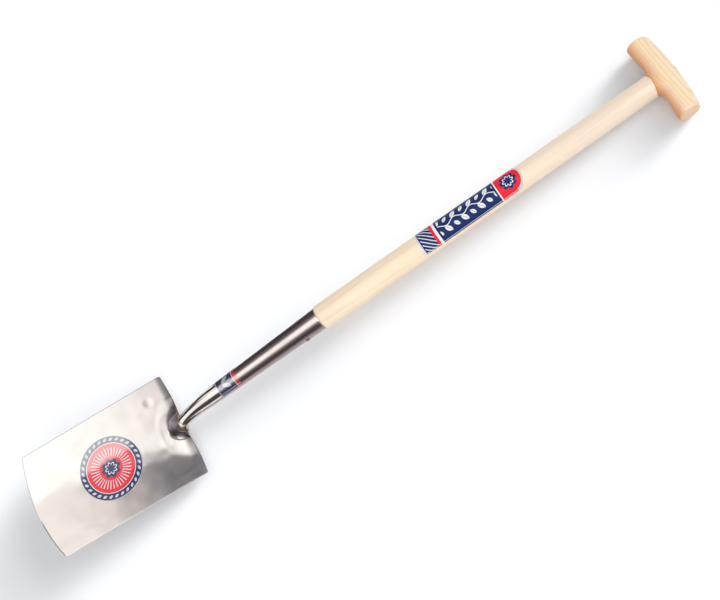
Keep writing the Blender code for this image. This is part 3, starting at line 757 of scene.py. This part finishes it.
# Both ends are capped: each pass closes what is still open.
for _ in range(2):
    pick(wood, "EDIT")
    bpy.ops.mesh.select_mode(type="EDGE")
    bpy.ops.mesh.select_all(action="DESELECT")
    bpy.ops.mesh.select_non_manifold()
    bpy.ops.mesh.edge_face_add()
    bpy.ops.object.mode_set(mode="OBJECT")
face_out(wood)
print("shaft drawn", len(wood.data.polygons), "faces")


# %% Cope its end and add the tenon
def drum(radius, x):
    """A drum that lies across the shaft, to cope with."""
    pick(None)
    bpy.ops.mesh.primitive_cylinder_add(
        vertices=192,
        radius=radius,
        depth=0.12,
        location=(x, 0.0, 0.0),
        rotation=(0.5 * math.pi, 0.0, 0.0),
    )
    return bpy.context.object


def dowel(radius, length, x):
    """A round bar in line with the shaft, for the tenon and for its bore."""
    pick(None)
    bpy.ops.mesh.primitive_cylinder_add(
        vertices=64,
        radius=radius,
        depth=length,
        location=(x, 0.0, 0.0),
        rotation=(0.0, 0.5 * math.pi, 0.0),
    )
    return bpy.context.object


TENON_RADIUS = 0.012
CROWN = SHAFT_LENGTH + 0.0446

boolean(wood, drum(COPE_RADIUS, SHAFT_LENGTH + COPE_RADIUS), "DIFFERENCE")
tenon = dowel(TENON_RADIUS, 0.06, CROWN - 0.025)
print("shaft coped", len(wood.data.polygons), "faces")

# %% [markdown]
# ### Ash
#
# Wood is a stack of growth rings, and a turned or carved surface cuts through them. So the
# rings are laid round the tree's own centre, some way outside the piece and a little out of
# line with it, and the figure follows from the shape: straight lines down a shaft, nested
# arches where a boss swells. Ash is ring-porous, so each ring starts with a darker band of
# open pores, which noise stretched along the grain breaks into fine dashes.


# %% Ash for the shaft and the grip
def ash(name, grain_frame, heart, ring, pale, deep, pore, contrast=0.3):
    """Ash with its grain along the frame's x axis and the tree's centre at heart."""
    recipe = Recipe(name, 0.46)
    _, y, z = recipe.split(recipe.place(grain_frame))
    wander = recipe.noise(recipe.place(grain_frame, (2.0, 16.0, 16.0)), 1.0, 2.0, 0.5)
    out = away(y - heart[0], z - heart[1]) + wander * (3.0 * ring)
    year = recipe.math("FRACT", out / ring)
    early = year.ramp(0.0, 0.08) * year.fade(0.12, 0.55)
    fibres = recipe.noise(recipe.place(grain_frame, (9.0, 420.0, 420.0)), 1.0, 3.0, 0.55)
    dashes = recipe.noise(recipe.place(grain_frame, (40.0, 1300.0, 1300.0)), 1.0, 1.0)
    figure = recipe.noise(recipe.place(grain_frame, (1.6, 22.0, 22.0)), 1.0, 2.0, 0.5, 0.7)
    open_pores = dashes.ramp(0.58, 0.72) * early
    recipe.ground = recipe.layers(
        pale,
        (figure.ramp(0.28, 0.74), deep),
        (early * contrast, pore),
        (fibres.ramp(0.42, 0.78, 0.0, 0.22), pore),
        (open_pores * 0.45, pore),
    )
    recipe.colour(recipe.ground)
    recipe.roughness(fibres.ramp(0.3, 0.7, 0.42, 0.55))
    recipe.bump(fibres * 0.5 - open_pores, 0.00012, 0.4)
    return recipe


def turned(origin, degrees):
    """A frame turned a little about its own upright, as grain runs out of a piece."""
    return origin @ Matrix.Rotation(math.radians(degrees), 4, "Z")


cream = ash(
    "ash_pale",
    turned(SHAFT_FRAME, 1.2),
    heart=(0.03, -0.11),
    ring=0.0042,
    pale=(0.98, 0.82, 0.61),
    deep=(0.95, 0.76, 0.54),
    pore=(0.72, 0.50, 0.33),
    contrast=0.20,
)
# Towards the grip the shaft is a little pinker.
along, _, _ = cream.split(cream.place(SHAFT_FRAME))
pinker = cream.blend(0.5, cream.ground, (0.88, 0.74, 0.66))
cream.colour(cream.blend(along.ramp(0.30, 0.46, 0.0, 0.75), cream.ground, pinker))
print("ash for the shaft")

# %% [markdown]
# ## The T-grip
#
# The grip is carved from one block: a bar that arches over the hand, with a boss below it
# that meets the shaft. A cube is stretched to the bar's middle, its ends are extruded and
# dropped back to give the arch, and its underside is extruded to give the boss. A
# Subdivision Surface rounds it all, as a spokeshave would.

# %% The grip's sizes
GRIP_LENGTH = 0.1432
MID_THICKNESS = 0.0376
END_THICKNESS = 0.0372
MID_DEPTH = 0.0375
END_DEPTH = 0.0350
ARCH = 0.0052
BOSS_WIDTH = 0.0365
COVE = 0.019
BOSS_REACH = 0.0076
END_EDGE = 0.011
END_FLAT = 0.70
# A smoothed square's reach, as a share of its cage.
FULLNESS = 0.9167


def bar_section(y):
    """The bar's middle, thickness and depth at a place along it."""
    share = (2.0 * y / GRIP_LENGTH) ** 2
    thick = MID_THICKNESS + (END_THICKNESS - MID_THICKNESS) * share
    deep = MID_DEPTH + (END_DEPTH - MID_DEPTH) * share
    return CROWN - ARCH * share - 0.5 * thick, thick / FULLNESS, deep / FULLNESS


print(f"the bar is {1000.0 * MID_THICKNESS:.1f} mm thick at its middle")

# %% Carve the bar
half_boss = 0.5 * BOSS_WIDTH
half_bar = 0.5 * GRIP_LENGTH
middle, thick, deep = bar_section(half_boss)
pick(None)
bpy.ops.mesh.primitive_cube_add(
    size=1.0, location=(middle, 0.0, 0.0), scale=(thick, BOSS_WIDTH, deep)
)
grip = bpy.context.object
grip.name = "carved_t_grip"
freeze()
for hand in (1.0, -1.0):
    pick(grip, "EDIT")
    reach = half_boss
    select_where(grip, "FACE", lambda c: c.y * hand > reach - 1e-6)
    section = bar_section(reach)
    for y in (half_boss + COVE, half_bar - END_EDGE, half_bar):
        following = bar_section(y)
        move = (following[0] - section[0], hand * (y - reach), 0.0)
        bpy.ops.mesh.extrude_region_move(TRANSFORM_OT_translate={"value": move})
        size = (following[1] / section[1], 1.0, following[2] / section[2])
        bpy.ops.transform.resize(value=size, center_override=(following[0], hand * y, 0.0))
        section = following
        reach = y
    bpy.ops.mesh.extrude_region_move(TRANSFORM_OT_translate={"value": (0.0, 0.0, 0.0)})
    bpy.ops.transform.resize(
        value=(END_FLAT, 1.0, END_FLAT), center_override=(section[0], hand * half_bar, 0.0)
    )
    bpy.ops.object.mode_set(mode="OBJECT")
print("grip's bar", len(grip.data.polygons), "faces")

# %% Grow the boss and round it all
pick(grip, "EDIT")
underside = middle - 0.5 * thick
select_where(grip, "FACE", lambda c: abs(c.y) < 1e-5 and c.x < underside + 0.001)
foot = SHAFT_LENGTH - BOSS_REACH
bpy.ops.mesh.extrude_region_move(TRANSFORM_OT_translate={"value": (foot - underside, 0.0, 0.0)})
boss = BOSS_WIDTH / FULLNESS
bpy.ops.transform.resize(
    value=(1.0, boss / BOSS_WIDTH, boss / deep), center_override=(foot, 0.0, 0.0)
)
bpy.ops.object.mode_set(mode="OBJECT")
face_out(grip)
modify(grip, "SUBSURF", levels=4, render_levels=4)
print("rounded grip", len(grip.data.polygons), "faces")

# %% [markdown]
# The tenon is planed off with the grip, so its end takes the grip's own surface: it is
# crossed with a copy of the carved block that is a fifth of a millimetre fatter, before
# the block is bored. The wedge is harder wood, which the plane leaves a hair prouder still.

# %% Plane the tenon off with the grip
TENON_PROUD = 0.0002
WEDGE_PROUDER = 0.00015
SMOOTH_WOOD = 35.0


def fatter(piece, by):
    """A copy of a piece, swollen evenly all over."""
    copy = piece.copy()
    copy.data = piece.data.copy()
    scene.collection.objects.link(copy)
    pick(copy, "EDIT")
    bpy.ops.mesh.select_all(action="SELECT")
    bpy.ops.transform.shrink_fatten(value=by)
    bpy.ops.object.mode_set(mode="OBJECT")
    return copy


planed = fatter(grip, TENON_PROUD)
wedge = copy_of("tenon_wedge", "oak_wedge")
lay_down(wedge, SHAFT_FRAME.inverted())
boolean(wedge, fatter(planed, WEDGE_PROUDER), "INTERSECT")
boolean(tenon, planed, "INTERSECT")
boolean(wood, tenon, "UNION")
face_out(wood)
lay_down(wood, SHAFT_FRAME)
smooth(wood, SMOOTH_WOOD)
stands_for(wood, "shaft", cream.material)

# %% Cope and bore the grip
pick(None)
bpy.ops.mesh.primitive_cube_add(
    size=1.0, location=(SHAFT_LENGTH - 0.005, 0.0, 0.0), scale=(0.03, 0.074, 0.074)
)
seat = bpy.context.object
boolean(seat, drum(COPE_RADIUS, SHAFT_LENGTH + GAP + COPE_RADIUS), "DIFFERENCE")
boolean(grip, seat, "DIFFERENCE")
boolean(grip, dowel(TENON_RADIUS + GAP, 0.08, CROWN), "DIFFERENCE")
face_out(grip)
lay_down(grip, SHAFT_FRAME)
smooth(grip, SMOOTH_WOOD)
print("grip bored", len(grip.data.polygons), "faces")

# %% [markdown]
# ### Golden ash
#
# The grip's grain runs along its bar. The boss by the joint is a deep orange, partly from oil
# taken up by the wood and partly painted shade in the corner; the sawn ends are a duller brown.

# %% Golden ash, its grain along the grip
ORANGE_SOAK_AND_SHADE = (0.72, 0.25, 0.06)
SAWN = (0.72, 0.50, 0.33)
GRIP_FRAME = turned(SHAFT_FRAME @ Matrix.Translation((CROWN - 0.02, 0.0, 0.0)), 90.0)

golden = ash(
    "ash_golden",
    turned(GRIP_FRAME, 2.0),
    heart=(0.045, -0.030),
    ring=0.0040,
    pale=(1.0, 0.81, 0.565),
    deep=(1.0, 0.74, 0.44),
    pore=(0.74, 0.43, 0.18),
    contrast=0.27,
)
from_rim, side, _ = golden.split(golden.place(SHAFT_FRAME))
# painted shade and warm bounced light in the corner by the joint, with oil in the wood
soak_and_shade = from_rim.fade(SHAFT_LENGTH - 0.002, SHAFT_LENGTH + 0.024, 0.95)
end_grain = abs(side).ramp(half_bar - 0.0016, half_bar - 0.0004, 0.0, 0.8)
golden.colour(golden.layers(golden.ground, (soak_and_shade, ORANGE_SOAK_AND_SHADE), (end_grain, SAWN)))
stands_for(grip, "t_grip", golden.material)

# %% [markdown]
# ## Wedge and rivet
#
# Two small pieces. The oak wedge was planed off with the tenon above. The rivet through
# the socket is already right in the CAD model: it keeps that mesh and only gets a finish.

# %% Finishes of the wedge and the rivet
oak = ash(
    "wedge_hardwood",
    SHAFT_FRAME,
    heart=(0.02, -0.05),
    ring=0.0020,
    pale=(0.70, 0.50, 0.30),
    deep=(0.62, 0.42, 0.24),
    pore=(0.40, 0.25, 0.13),
)
face_out(wedge)
lay_down(wedge, SHAFT_FRAME)
smooth(wedge, SMOOTH_WOOD)
stands_for(wedge, "tenon_wedge", oak.material)

rivet = Recipe("rivet_steel_satin", 0.32, metallic=1.0)
scuffs = rivet.noise(rivet.place(SHAFT_FRAME), 900.0, 3.0)
rivet.colour(rivet.blend(scuffs.ramp(0.4, 0.65), (0.58, 0.54, 0.50), (0.40, 0.36, 0.33)))
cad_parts["socket_rivet"].data.materials.clear()
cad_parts["socket_rivet"].data.materials.append(rivet.material)
print("rivet finished")

# %% [markdown]
# ## The labels
#
# Printed plastic film, stuck on. The two on the shaft and the socket are cut from open
# cylinders, and their prints measure the angle round the axis, so they follow the curve.
# The round one is a disc, laid on the dished blade at the height of the die's surface.


# %% A label cut from a cylinder
LABEL_LIFT = 0.00045
LABEL_SWEEP = math.radians(72.0)
FILM = 0.00025


def wrapped_label(name, start, end, radii):
    """A strip of an open cylinder about the x axis, a sweep each way from its top."""
    pick(None)
    bpy.ops.mesh.primitive_cylinder_add(
        vertices=240,
        radius=radii[0],
        depth=end - start,
        end_fill_type="NOTHING",
        location=(0.5 * (start + end), 0.0, 0.0),
        rotation=(0.0, 0.5 * math.pi, 0.0),
    )
    piece = bpy.context.object
    piece.name = name
    freeze()
    bpy.ops.object.mode_set(mode="EDIT")
    select_where(piece, "VERT", lambda c: c.x > end - 1e-6)
    size = radii[1] / radii[0]
    bpy.ops.transform.resize(value=(1.0, size, size), center_override=(end, 0.0, 0.0))
    lowest = math.cos(LABEL_SWEEP)
    select_where(piece, "FACE", lambda c: c.z < lowest * math.hypot(c.y, c.z))
    bpy.ops.mesh.delete(type="FACE")
    bpy.ops.object.mode_set(mode="OBJECT")
    modify(piece, "SOLIDIFY", thickness=FILM, offset=-1.0)
    return piece


# %% Long label, its far corners rounded by a trimming block
LABEL_START = 0.195
LABEL_END = 0.3835
LABEL_ROUND = 0.017

ends = [shaft_radius(x) + LABEL_LIFT for x in (LABEL_START, LABEL_END)]
shaft_label = wrapped_label("long_label", LABEL_START, LABEL_END, ends)
half_across = ends[1] * math.sin(LABEL_SWEEP)
pick(None)
bpy.ops.mesh.primitive_cube_add(
    size=1.0,
    location=(0.5 * (LABEL_START + LABEL_END), 0.0, 0.02),
    scale=(LABEL_END - LABEL_START + 0.0001, 2.0 * half_across + 0.0006, 0.04),
)
trim = bpy.context.object
freeze()
pick(trim, "EDIT")
bpy.ops.mesh.select_mode(type="EDGE")
bpy.ops.mesh.select_all(action="DESELECT")
bpy.ops.object.mode_set(mode="OBJECT")
for edge in trim.data.edges:
    first, second = (trim.data.vertices[i].co for i in edge.vertices)
    at_end = min(first.x, second.x) > LABEL_END - 0.001
    edge.select = at_end and abs(first.y - second.y) < 1e-6
bpy.ops.object.mode_set(mode="EDIT")
bpy.ops.mesh.bevel(offset=LABEL_ROUND, segments=12, affect="EDGES")
bpy.ops.object.mode_set(mode="OBJECT")
boolean(shaft_label, trim, "INTERSECT")
lay_down(shaft_label, SHAFT_FRAME)
smooth(shaft_label, SMOOTH_STEEL)
print("long label", len(shaft_label.data.polygons), "faces")

# %% Socket label
SHORT_START = 0.1615
SHORT_END = 0.2005
TUBE_FRAME = SHAFT_FRAME @ Matrix.Rotation(-TUBE_TILT, 4, "Y")

ends = [tube_radius(along) + LABEL_LIFT for along in (SHORT_END, SHORT_START)]
socket_label = wrapped_label("short_label", -SHORT_END, -SHORT_START, ends)
lay_down(socket_label, TUBE_FRAME)
smooth(socket_label, SMOOTH_STEEL)
print("short label", len(socket_label.data.polygons), "faces")

# %% Blade label
DISC_RADIUS = 0.5 * 0.1078
DISC_U = 0.1400
DISC_RINGS = 12

pick(None)
bpy.ops.mesh.primitive_circle_add(
    vertices=128, radius=DISC_RADIUS, fill_type="NGON", location=(DISC_U, 0.0, 0.03)
)
disc = bpy.context.object
disc.name = "round_label"
freeze()
pick(disc, "EDIT")
bpy.ops.mesh.select_all(action="SELECT")
for _ in range(DISC_RINGS):
    bpy.ops.mesh.inset(thickness=DISC_RADIUS / (DISC_RINGS + 1))
bpy.ops.object.mode_set(mode="OBJECT")
lay_down(disc, BLADE_FRAME)
for vertex in disc.data.vertices:
    local = BLADE_FRAME.inverted() @ vertex.co
    height = die_height(local.x, local.y) + LABEL_LIFT
    vertex.co = BLADE_FRAME @ Vector((local.x, local.y, height))
modify(disc, "SOLIDIFY", thickness=FILM, offset=-1.0)
face_out(disc)
smooth(disc, SMOOTH_STEEL)
print("round label", len(disc.data.polygons), "faces")

# %% [markdown]
# ### Prints
#
# Each print is generic: navy, red and white, with a rosette, leaves and stripes. Each is
# drawn by its own measures on the piece, in metres, from fields, rings and leaves.

# %% Inks and the film
NAVY = (0.010, 0.028, 0.130)
RED = (0.860, 0.020, 0.038)
WHITE = (0.88, 0.88, 0.88)
SILVER = (0.66, 0.65, 0.66)


def film(name, roughness, specular, coat, coat_ior=3.8):
    """Printed film: its own shine, and a clear hard coat that mirrors the studio."""
    recipe = Recipe(name, roughness)
    recipe.shader.inputs["Specular IOR Level"].default_value = specular
    recipe.shader.inputs["Coat Weight"].default_value = coat
    recipe.shader.inputs["Coat Roughness"].default_value = 0.06
    recipe.shader.inputs["Coat IOR"].default_value = coat_ior
    return recipe


def leaf(x, y, tilt, length, width):
    """1 on a pointed leaf about the origin, turned by tilt, with a bare midrib."""
    cosine, sine = math.cos(tilt), math.sin(tilt)
    share = (x * cosine + y * sine) / (0.5 * length)
    out = abs(y * cosine - x * sine)
    edge = (1.0 - share * share) * (0.5 * width)
    return (edge - out).ramp(-0.0001, 0.0003) * out.ramp(0.0001, 0.0004)


def rosette(x, y, depth):
    """The distance from a centre, drawn in by a depth on each of eight petals."""
    petals = abs(x.recipe.math("COSINE", x.recipe.math("ARCTAN2", y, x) * 4.0))
    return away(x, y) - petals * depth


# %% Print of the blade label
badge = film("print_round", 0.10, 0.5, 1.0)
x, y, _ = badge.split(badge.place(BLADE_FRAME @ Matrix.Translation((DISC_U, 0.0, 0.0))))
distance = away(x, y)
turn = badge.math("ARCTAN2", y, x)


def around(count, radius):
    """Places round a ring: across each of count equal parts, and out from the radius."""
    part = badge.math("FRACT", (turn + math.pi) * (count / math.tau))
    return (part - 0.5) * (math.tau * radius / count), distance - radius


wreath = leaf(*around(30, 0.0484), 0.6, 0.0088, 0.0040)
sideways, outward = around(36, 0.0275)
rays = abs(sideways).within(-1.0, 0.0007) * outward.within(-0.0075, 0.0075)
flower = rosette(x, y, 0.0040)
badge.colour(badge.layers(
    RED,
    (distance.ramp(0.0412, 0.0416), WHITE),
    (distance.ramp(0.0424, 0.0428), NAVY),
    (wreath, WHITE),
    (rays, WHITE),
    (flower.fade(0.0125, 0.0129), NAVY),
    (flower.within(0.0050, 0.0068), WHITE),
    (distance.ramp(0.0531, 0.0534), SILVER),
))
# Painted reflection: the clear coat is full on one side of the label and thin elsewhere, so the
# studio shows in it only there.
painted_gloss_side = y.ramp(0.008, 0.018) * x.ramp(-0.052, -0.036)
badge.feed(badge.shader.inputs["Coat Weight"], painted_gloss_side * 0.85 + 0.15)
stands_for(disc, "blade_label", badge.material)

# %% Print of the long label
VINE_PITCH = 0.030
LEAF_PITCH = 0.0150
LEAF_OUT = 0.0088
LONG_RADIUS = 0.0207
STRIPE_PITCH = 0.0075
MEDAL_AT = 0.1655

sleeve = film("print_long", 0.38, 0.12, 0.0)
label_frame = SHAFT_FRAME @ Matrix.Translation((LABEL_START, 0.0, 0.0))
along, y, z = sleeve.split(sleeve.place(label_frame))
across = sleeve.math("ARCTAN2", y, z) * LONG_RADIUS
far_out = abs(across)

wave = sleeve.math("SINE", along * (math.tau / VINE_PITCH))
vine = abs(across - wave * 0.0030).fade(0.0006, 0.0010)
nearby = (sleeve.math("FRACT", along / LEAF_PITCH) - 0.5) * LEAF_PITCH
one_side = across * sleeve.math("SIGN", wave)
outer_leaf = leaf(nearby, one_side - LEAF_OUT, 0.9, 0.0150, 0.0080)
inner_leaf = leaf(nearby, one_side + LEAF_OUT, -0.9, 0.0120, 0.0062)
vine = sleeve.math("MAXIMUM", sleeve.math("MAXIMUM", vine, outer_leaf), inner_leaf)
stripes = sleeve.math("FRACT", (along + across) / STRIPE_PITCH)
banner = sleeve.blend(stripes.within(0.35, 0.60, 0.04), NAVY, WHITE)
medal = rosette(along - MEDAL_AT, across, 0.0035)
print("vine, stripes and medal,", len(sleeve.tree.nodes), "nodes")

# %% The long label's silver margin, and its coats of ink
past = sleeve.math("MAXIMUM", along - (LABEL_END - LABEL_START - LABEL_ROUND), 0.0)
beside = sleeve.math("MAXIMUM", abs(y) - (half_across - LABEL_ROUND), 0.0)
corner = away(past, beside).ramp(LABEL_ROUND - 0.0030, LABEL_ROUND - 0.0026)
sleeve.colour(sleeve.layers(
    NAVY,
    (vine * along.within(0.0380, 0.1400), WHITE),
    (along.within(0.0300, 0.0345), WHITE),
    (along.within(0.0040, 0.0255), banner),
    (along.within(0.0255, 0.0300), RED),
    (along.within(0.1430, 0.1450), WHITE),
    (along.within(0.1450, 0.3), RED),
    (medal.fade(0.0105, 0.0109), NAVY),
    (medal.within(0.0042, 0.0060), WHITE),
    (far_out.within(0.0222, 0.0229), WHITE),
    (far_out.ramp(0.0250, 0.0252), SILVER),
    (corner * past.ramp(0.0, 0.0004), SILVER),
    (along.fade(0.0022, 0.0026), SILVER),
))
stands_for(shaft_label, "shaft_label", sleeve.material)

# %% Print of the short label
SHORT_RADIUS = 0.0150

tag = film("print_short", 0.10, 0.5, 1.0, coat_ior=6.0)
along, y, z = tag.split(tag.place(TUBE_FRAME @ Matrix.Translation((-SHORT_END, 0.0, 0.0))))
across = tag.math("ARCTAN2", y, z) * SHORT_RADIUS
sprig = leaf(along - 0.0175, abs(across) - 0.0052, 0.55, 0.0180, 0.0066)
stalk = across.within(-0.0006, 0.0006) * along.within(0.0050, 0.0280)
tag.colour(tag.layers(
    NAVY,
    (along.within(0.0315, 0.0328), WHITE),
    (along.ramp(0.0328, 0.0330), RED),
    (tag.math("MAXIMUM", sprig, stalk), WHITE),
    (abs(across).within(0.0140, 0.0147), WHITE),
    (along.fade(0.0012, 0.0016), SILVER),
))
stands_for(socket_label, "socket_label", tag.material)

# %% [markdown]
# ## Studio
#
# A pale floor and plain, soft light. Most of it comes evenly from all round. A broad light
# overhead and one from the front shape the wood, and two beyond the grip throw the long soft
# shadow. Light linking keeps those two on the floor, where their work is, and keeps the one
# overhead off it. All are suns of a wide angle: so far off that the whole tool, over a metre
# long, gets the same light.

# %% Floor
FLOOR_PAPER = (0.680, 0.685, 0.700)
FLOOR_GLOW = 0.10

pick(None)
bpy.ops.mesh.primitive_plane_add(size=14.0, location=(0.0, 0.0, -0.0002))
floor = bpy.context.object
floor.name = "studio_floor"
paper = Recipe("floor_paper", 0.9)
paper.colour(FLOOR_PAPER)
paper.shader.inputs["Specular IOR Level"].default_value = 0.0
paper.shader.inputs["Emission Color"].default_value = (1.0, 1.0, 1.0, 1.0)
# A faint glow that only the camera and mirrors see lifts the paper to a photograph's white.
rays = paper.node("ShaderNodeLightPath").outputs
seen = Value(paper, rays["Is Camera Ray"])
for kind in ("Is Glossy Ray", "Is Transmission Ray"):
    seen = paper.math("MAXIMUM", seen, Value(paper, rays[kind]))
paper.feed(paper.shader.inputs["Emission Strength"], seen * FLOOR_GLOW)
floor.data.materials.append(paper.material)
print("floor laid")


# %% Lights
def far_light(name, towards, strength, spread):
    """A wide light so far off that it falls evenly on the whole tool."""
    data = bpy.data.lights.new(name, "SUN")
    data.energy = strength
    data.angle = math.radians(spread)
    lamp = bpy.data.objects.new(name, data)
    scene.collection.objects.link(lamp)
    lamp.location = towards
    lamp.rotation_euler = Vector(towards).to_track_quat("Z", "Y").to_euler()
    lamp.visible_camera = False
    lamp.visible_glossy = False
    print(f"{name}: strength {strength}, {spread:.0f} degrees wide")
    return lamp


def light_floor(lamp, only):
    """Lets a lamp light the floor only, or everything but the floor."""
    group = bpy.data.collections.new(f"{lamp.name}_lights")
    group.objects.link(floor)
    group.collection_objects[0].light_linking.link_state = "INCLUDE" if only else "EXCLUDE"
    lamp.light_linking.receiver_collection = group


light_floor(far_light("end_window", (4.2, 0.95, 1.0), 4.9, 24.0), only=True)
light_floor(far_light("end_lamp", (1.9, 0.05, 1.0), 1.8, 34.0), only=True)
light_floor(far_light("top_window", (0.2, 0.05, 1.0), 0.62, 40.0), only=False)
far_light("front_fill", (0.1, -1.2, 1.0), 0.84, 70.0)

# %% The light from all round, dimmer on what scatters it than in what mirrors it
MIRRORED_LEVEL = 1.10
SCATTERED_LEVEL = 0.62

world = bpy.data.worlds.new("studio")
world.use_nodes = True
sky = world.node_tree
surround = sky.nodes["Background"]
scattered = sky.nodes.new("ShaderNodeLightPath").outputs["Is Diffuse Ray"]
tint = sky.nodes.new("ShaderNodeMix")
tint.data_type = "RGBA"
tint.inputs[6].default_value = (1.0, 0.985, 0.975, 1.0)
tint.inputs[7].default_value = (0.97, 0.98, 1.0, 1.0)
sky.links.new(scattered, tint.inputs[0])
sky.links.new(tint.outputs[2], surround.inputs["Color"])
level = sky.nodes.new("ShaderNodeMapRange")
level.inputs["To Min"].default_value = MIRRORED_LEVEL
level.inputs["To Max"].default_value = SCATTERED_LEVEL
sky.links.new(scattered, level.inputs["Value"])
sky.links.new(level.outputs[0], surround.inputs["Strength"])
scene.world = world
scene.view_settings.view_transform = "Standard"
print("surround at", MIRRORED_LEVEL, "and", SCATTERED_LEVEL)

# %% [markdown]
# ### Cards
#
# A tube mirrors a thin slice of its surroundings in each line along it. So its bands are
# planned the other way round: for each share of its width, the strip below is placed
# where the camera's ray would go after bouncing off the tube there. The strips close up to
# a tunnel that only reflections see. The blade is nearly flat, so it mirrors one patch of
# the studio overhead, and that patch is one board with a gradient along the blade. A far
# wall and a front board carry on from it, for the turned-up sides of the dish.

# %% A card
COOL = (0.97, 0.93, 1.03)
WARM = (1.0, 0.97, 0.95)
ROSE = (1.0, 0.78, 0.88)
# A card as bright as this has its full tint, and a dimmer one leans to its dim tint.
FULL_TINT = 0.6


def card(name, low_edge, high_edge, dim_tint=COOL, tint=WARM):
    """A card that only the steel sees, as a strip: each corner is x, y, z, brightness."""
    count = len(low_edge)
    corners = low_edge + high_edge
    strips = [(i, i + 1, count + i + 1, count + i) for i in range(count - 1)]
    mesh = bpy.data.meshes.new(name)
    mesh.from_pydata([corner[:3] for corner in corners], [], strips)
    shades = mesh.color_attributes.new("shade", "FLOAT_COLOR", "POINT")
    for i, (*_, level) in enumerate(corners):
        share = min(1.0, level / FULL_TINT)
        blend = [level * (a + (b - a) * share) for a, b in zip(dim_tint, tint)]
        shades.data[i].color = (*blend, 1.0)
    board = bpy.data.objects.new(name, mesh)
    scene.collection.objects.link(board)
    material = bpy.data.materials.new(name)
    material.use_nodes = True
    tree = material.node_tree
    tree.nodes.clear()
    shade = tree.nodes.new("ShaderNodeAttribute")
    shade.attribute_name = "shade"
    glow = tree.nodes.new("ShaderNodeEmission")
    out = tree.nodes.new("ShaderNodeOutputMaterial")
    tree.links.new(shade.outputs["Color"], glow.inputs["Color"])
    tree.links.new(glow.outputs[0], out.inputs["Surface"])
    mesh.materials.append(material)
    for kind in ("camera", "diffuse", "shadow", "transmission"):
        setattr(board, f"visible_{kind}", False)


# %% Cards round the tube
# The strips run in x from the rim to the neck, or past it where they lie on the floor.
TAIL = -0.292
TAIL_FLOOR = -0.50
RIM = -0.030
TUNNEL_REACH = 0.12
AXIS_HEIGHT = 0.0387
MIRROR_RADIUS = 0.0178
LOWEST = 0.001
VIEW_TILT = math.radians(-24.2)
# From one side of the tube to the other: a share of its width, and what it mirrors there.
TUBE_BANDS = (
    (0.02, 0.22), (0.05, 0.09), (0.10, 0.047), (0.15, 0.055), (0.20, 0.09), (0.26, 0.15),
    (0.305, 0.32), (0.345, 0.88), (0.375, 1.12), (0.47, 1.12), (0.52, 0.80), (0.56, 0.36),
    (0.60, 0.17), (0.64, 0.095), (0.72, 0.055), (0.77, 0.08), (0.81, 0.20), (0.85, 0.34),
    (0.89, 0.40), (0.93, 0.46), (0.97, 0.62),
)


def tube_strip(share, level):
    """Where a line of the tube mirrors: y, z and the level of light to find there."""
    normal = math.asin(max(-1.0, min(1.0, 1.0 - 2.0 * share))) + VIEW_TILT
    bounced = 2.0 * normal - VIEW_TILT
    y = MIRROR_RADIUS * math.sin(normal)
    z = AXIS_HEIGHT + MIRROR_RADIUS * math.cos(normal)
    distance = TUNNEL_REACH
    if z + distance * math.cos(bounced) < LOWEST:
        distance = (LOWEST - z) / math.cos(bounced)
    return y + distance * math.sin(bounced), z + distance * math.cos(bounced), level


rows = [tube_strip(*band) for band in TUBE_BANDS]
for i, (near, far) in enumerate(zip(rows, rows[1:])):
    ends = (TAIL_FLOOR if max(near[1], far[1]) < 0.01 else TAIL, RIM)
    edges = [[(x, *row) for x in ends] for row in (near, far)]
    card(f"tube_card_{i}", *edges, ROSE, (1.0, 0.95, 0.94))
print(len(rows) - 1, "strips round the tube")

# %% Cards for the neck
DIM = 0.06
BACK_WALL = 0.79
FRONT_WALL = -0.80


def neck_wall(name, xs, y, low, high):
    """An upright card along x, for the neck to mirror: low and high are z, brightness."""
    card(name, *[[(x, y, z, level) for x in xs] for z, level in (low, high)], ROSE)


neck_wall("neck_wall_back", (-2.4, -1.05, -0.30), BACK_WALL, (0.05, DIM), (0.70, DIM))
neck_wall("neck_wall_back_high", (-2.4, -1.05), BACK_WALL, (0.70, DIM), (1.80, 0.3))
neck_wall("neck_wall_front", (-2.4, -0.30), FRONT_WALL, (0.20, DIM), (1.00, DIM))
neck_wall("neck_wall_front_high", (-2.4, -0.30), FRONT_WALL, (1.00, DIM), (1.60, 0.8))
neck_wall("neck_wall_front_low", (-2.4, -0.30), FRONT_WALL, (0.001, 0.30), (0.20, DIM))
print("walls beside the neck")

# %% Cards for the blade and the labels
# Along x: how bright the far wall is, and how high it stands.
FAR_WALL = (
    (-1.0, 1.02, 2.35), (-0.65, 1.0, 2.35), (-0.50, 0.47, 1.75), (-0.44, 0.30, 1.68),
    (-0.37, 0.22, 1.66), (-0.29, 0.27, 1.66), (0.35, 0.27, 1.66),
)
# Along x: how bright each board overhead is.
BLADE_BOARD = (
    (-2.2, 1.35), (-0.75, 1.3), (-0.545, 1.2), (-0.395, 1.18), (-0.33, 1.1), (-0.27, 1.0),
    (-0.18, 0.85), (0.21, 0.36), (0.54, 0.28), (3.2, 0.25),
)
FRONT_BOARD = ((-1.6, 1.1), (-0.62, 1.1), (-0.5, 2.2), (0.15, 2.8), (0.45, 4.5), (1.4, 4.5))


def overhead(name, shades, z, ys):
    """A level board over the tool, from one y to another."""
    card(name, *[[(x, y, z, level) for x, level in shades] for y in ys])


bottom = [(x, 0.8, 0.45, level) for x, level, _ in FAR_WALL]
top = [(x, 0.8, z, level) for x, level, z in FAR_WALL]
card("blade_card", bottom, top, COOL, (1.0, 0.94, 0.91))
overhead("blade_board", BLADE_BOARD, 3.0, (-0.2, 1.0))
overhead("front_board", FRONT_BOARD, 2.6, (-1.85, -0.30))
print("boards over the blade")
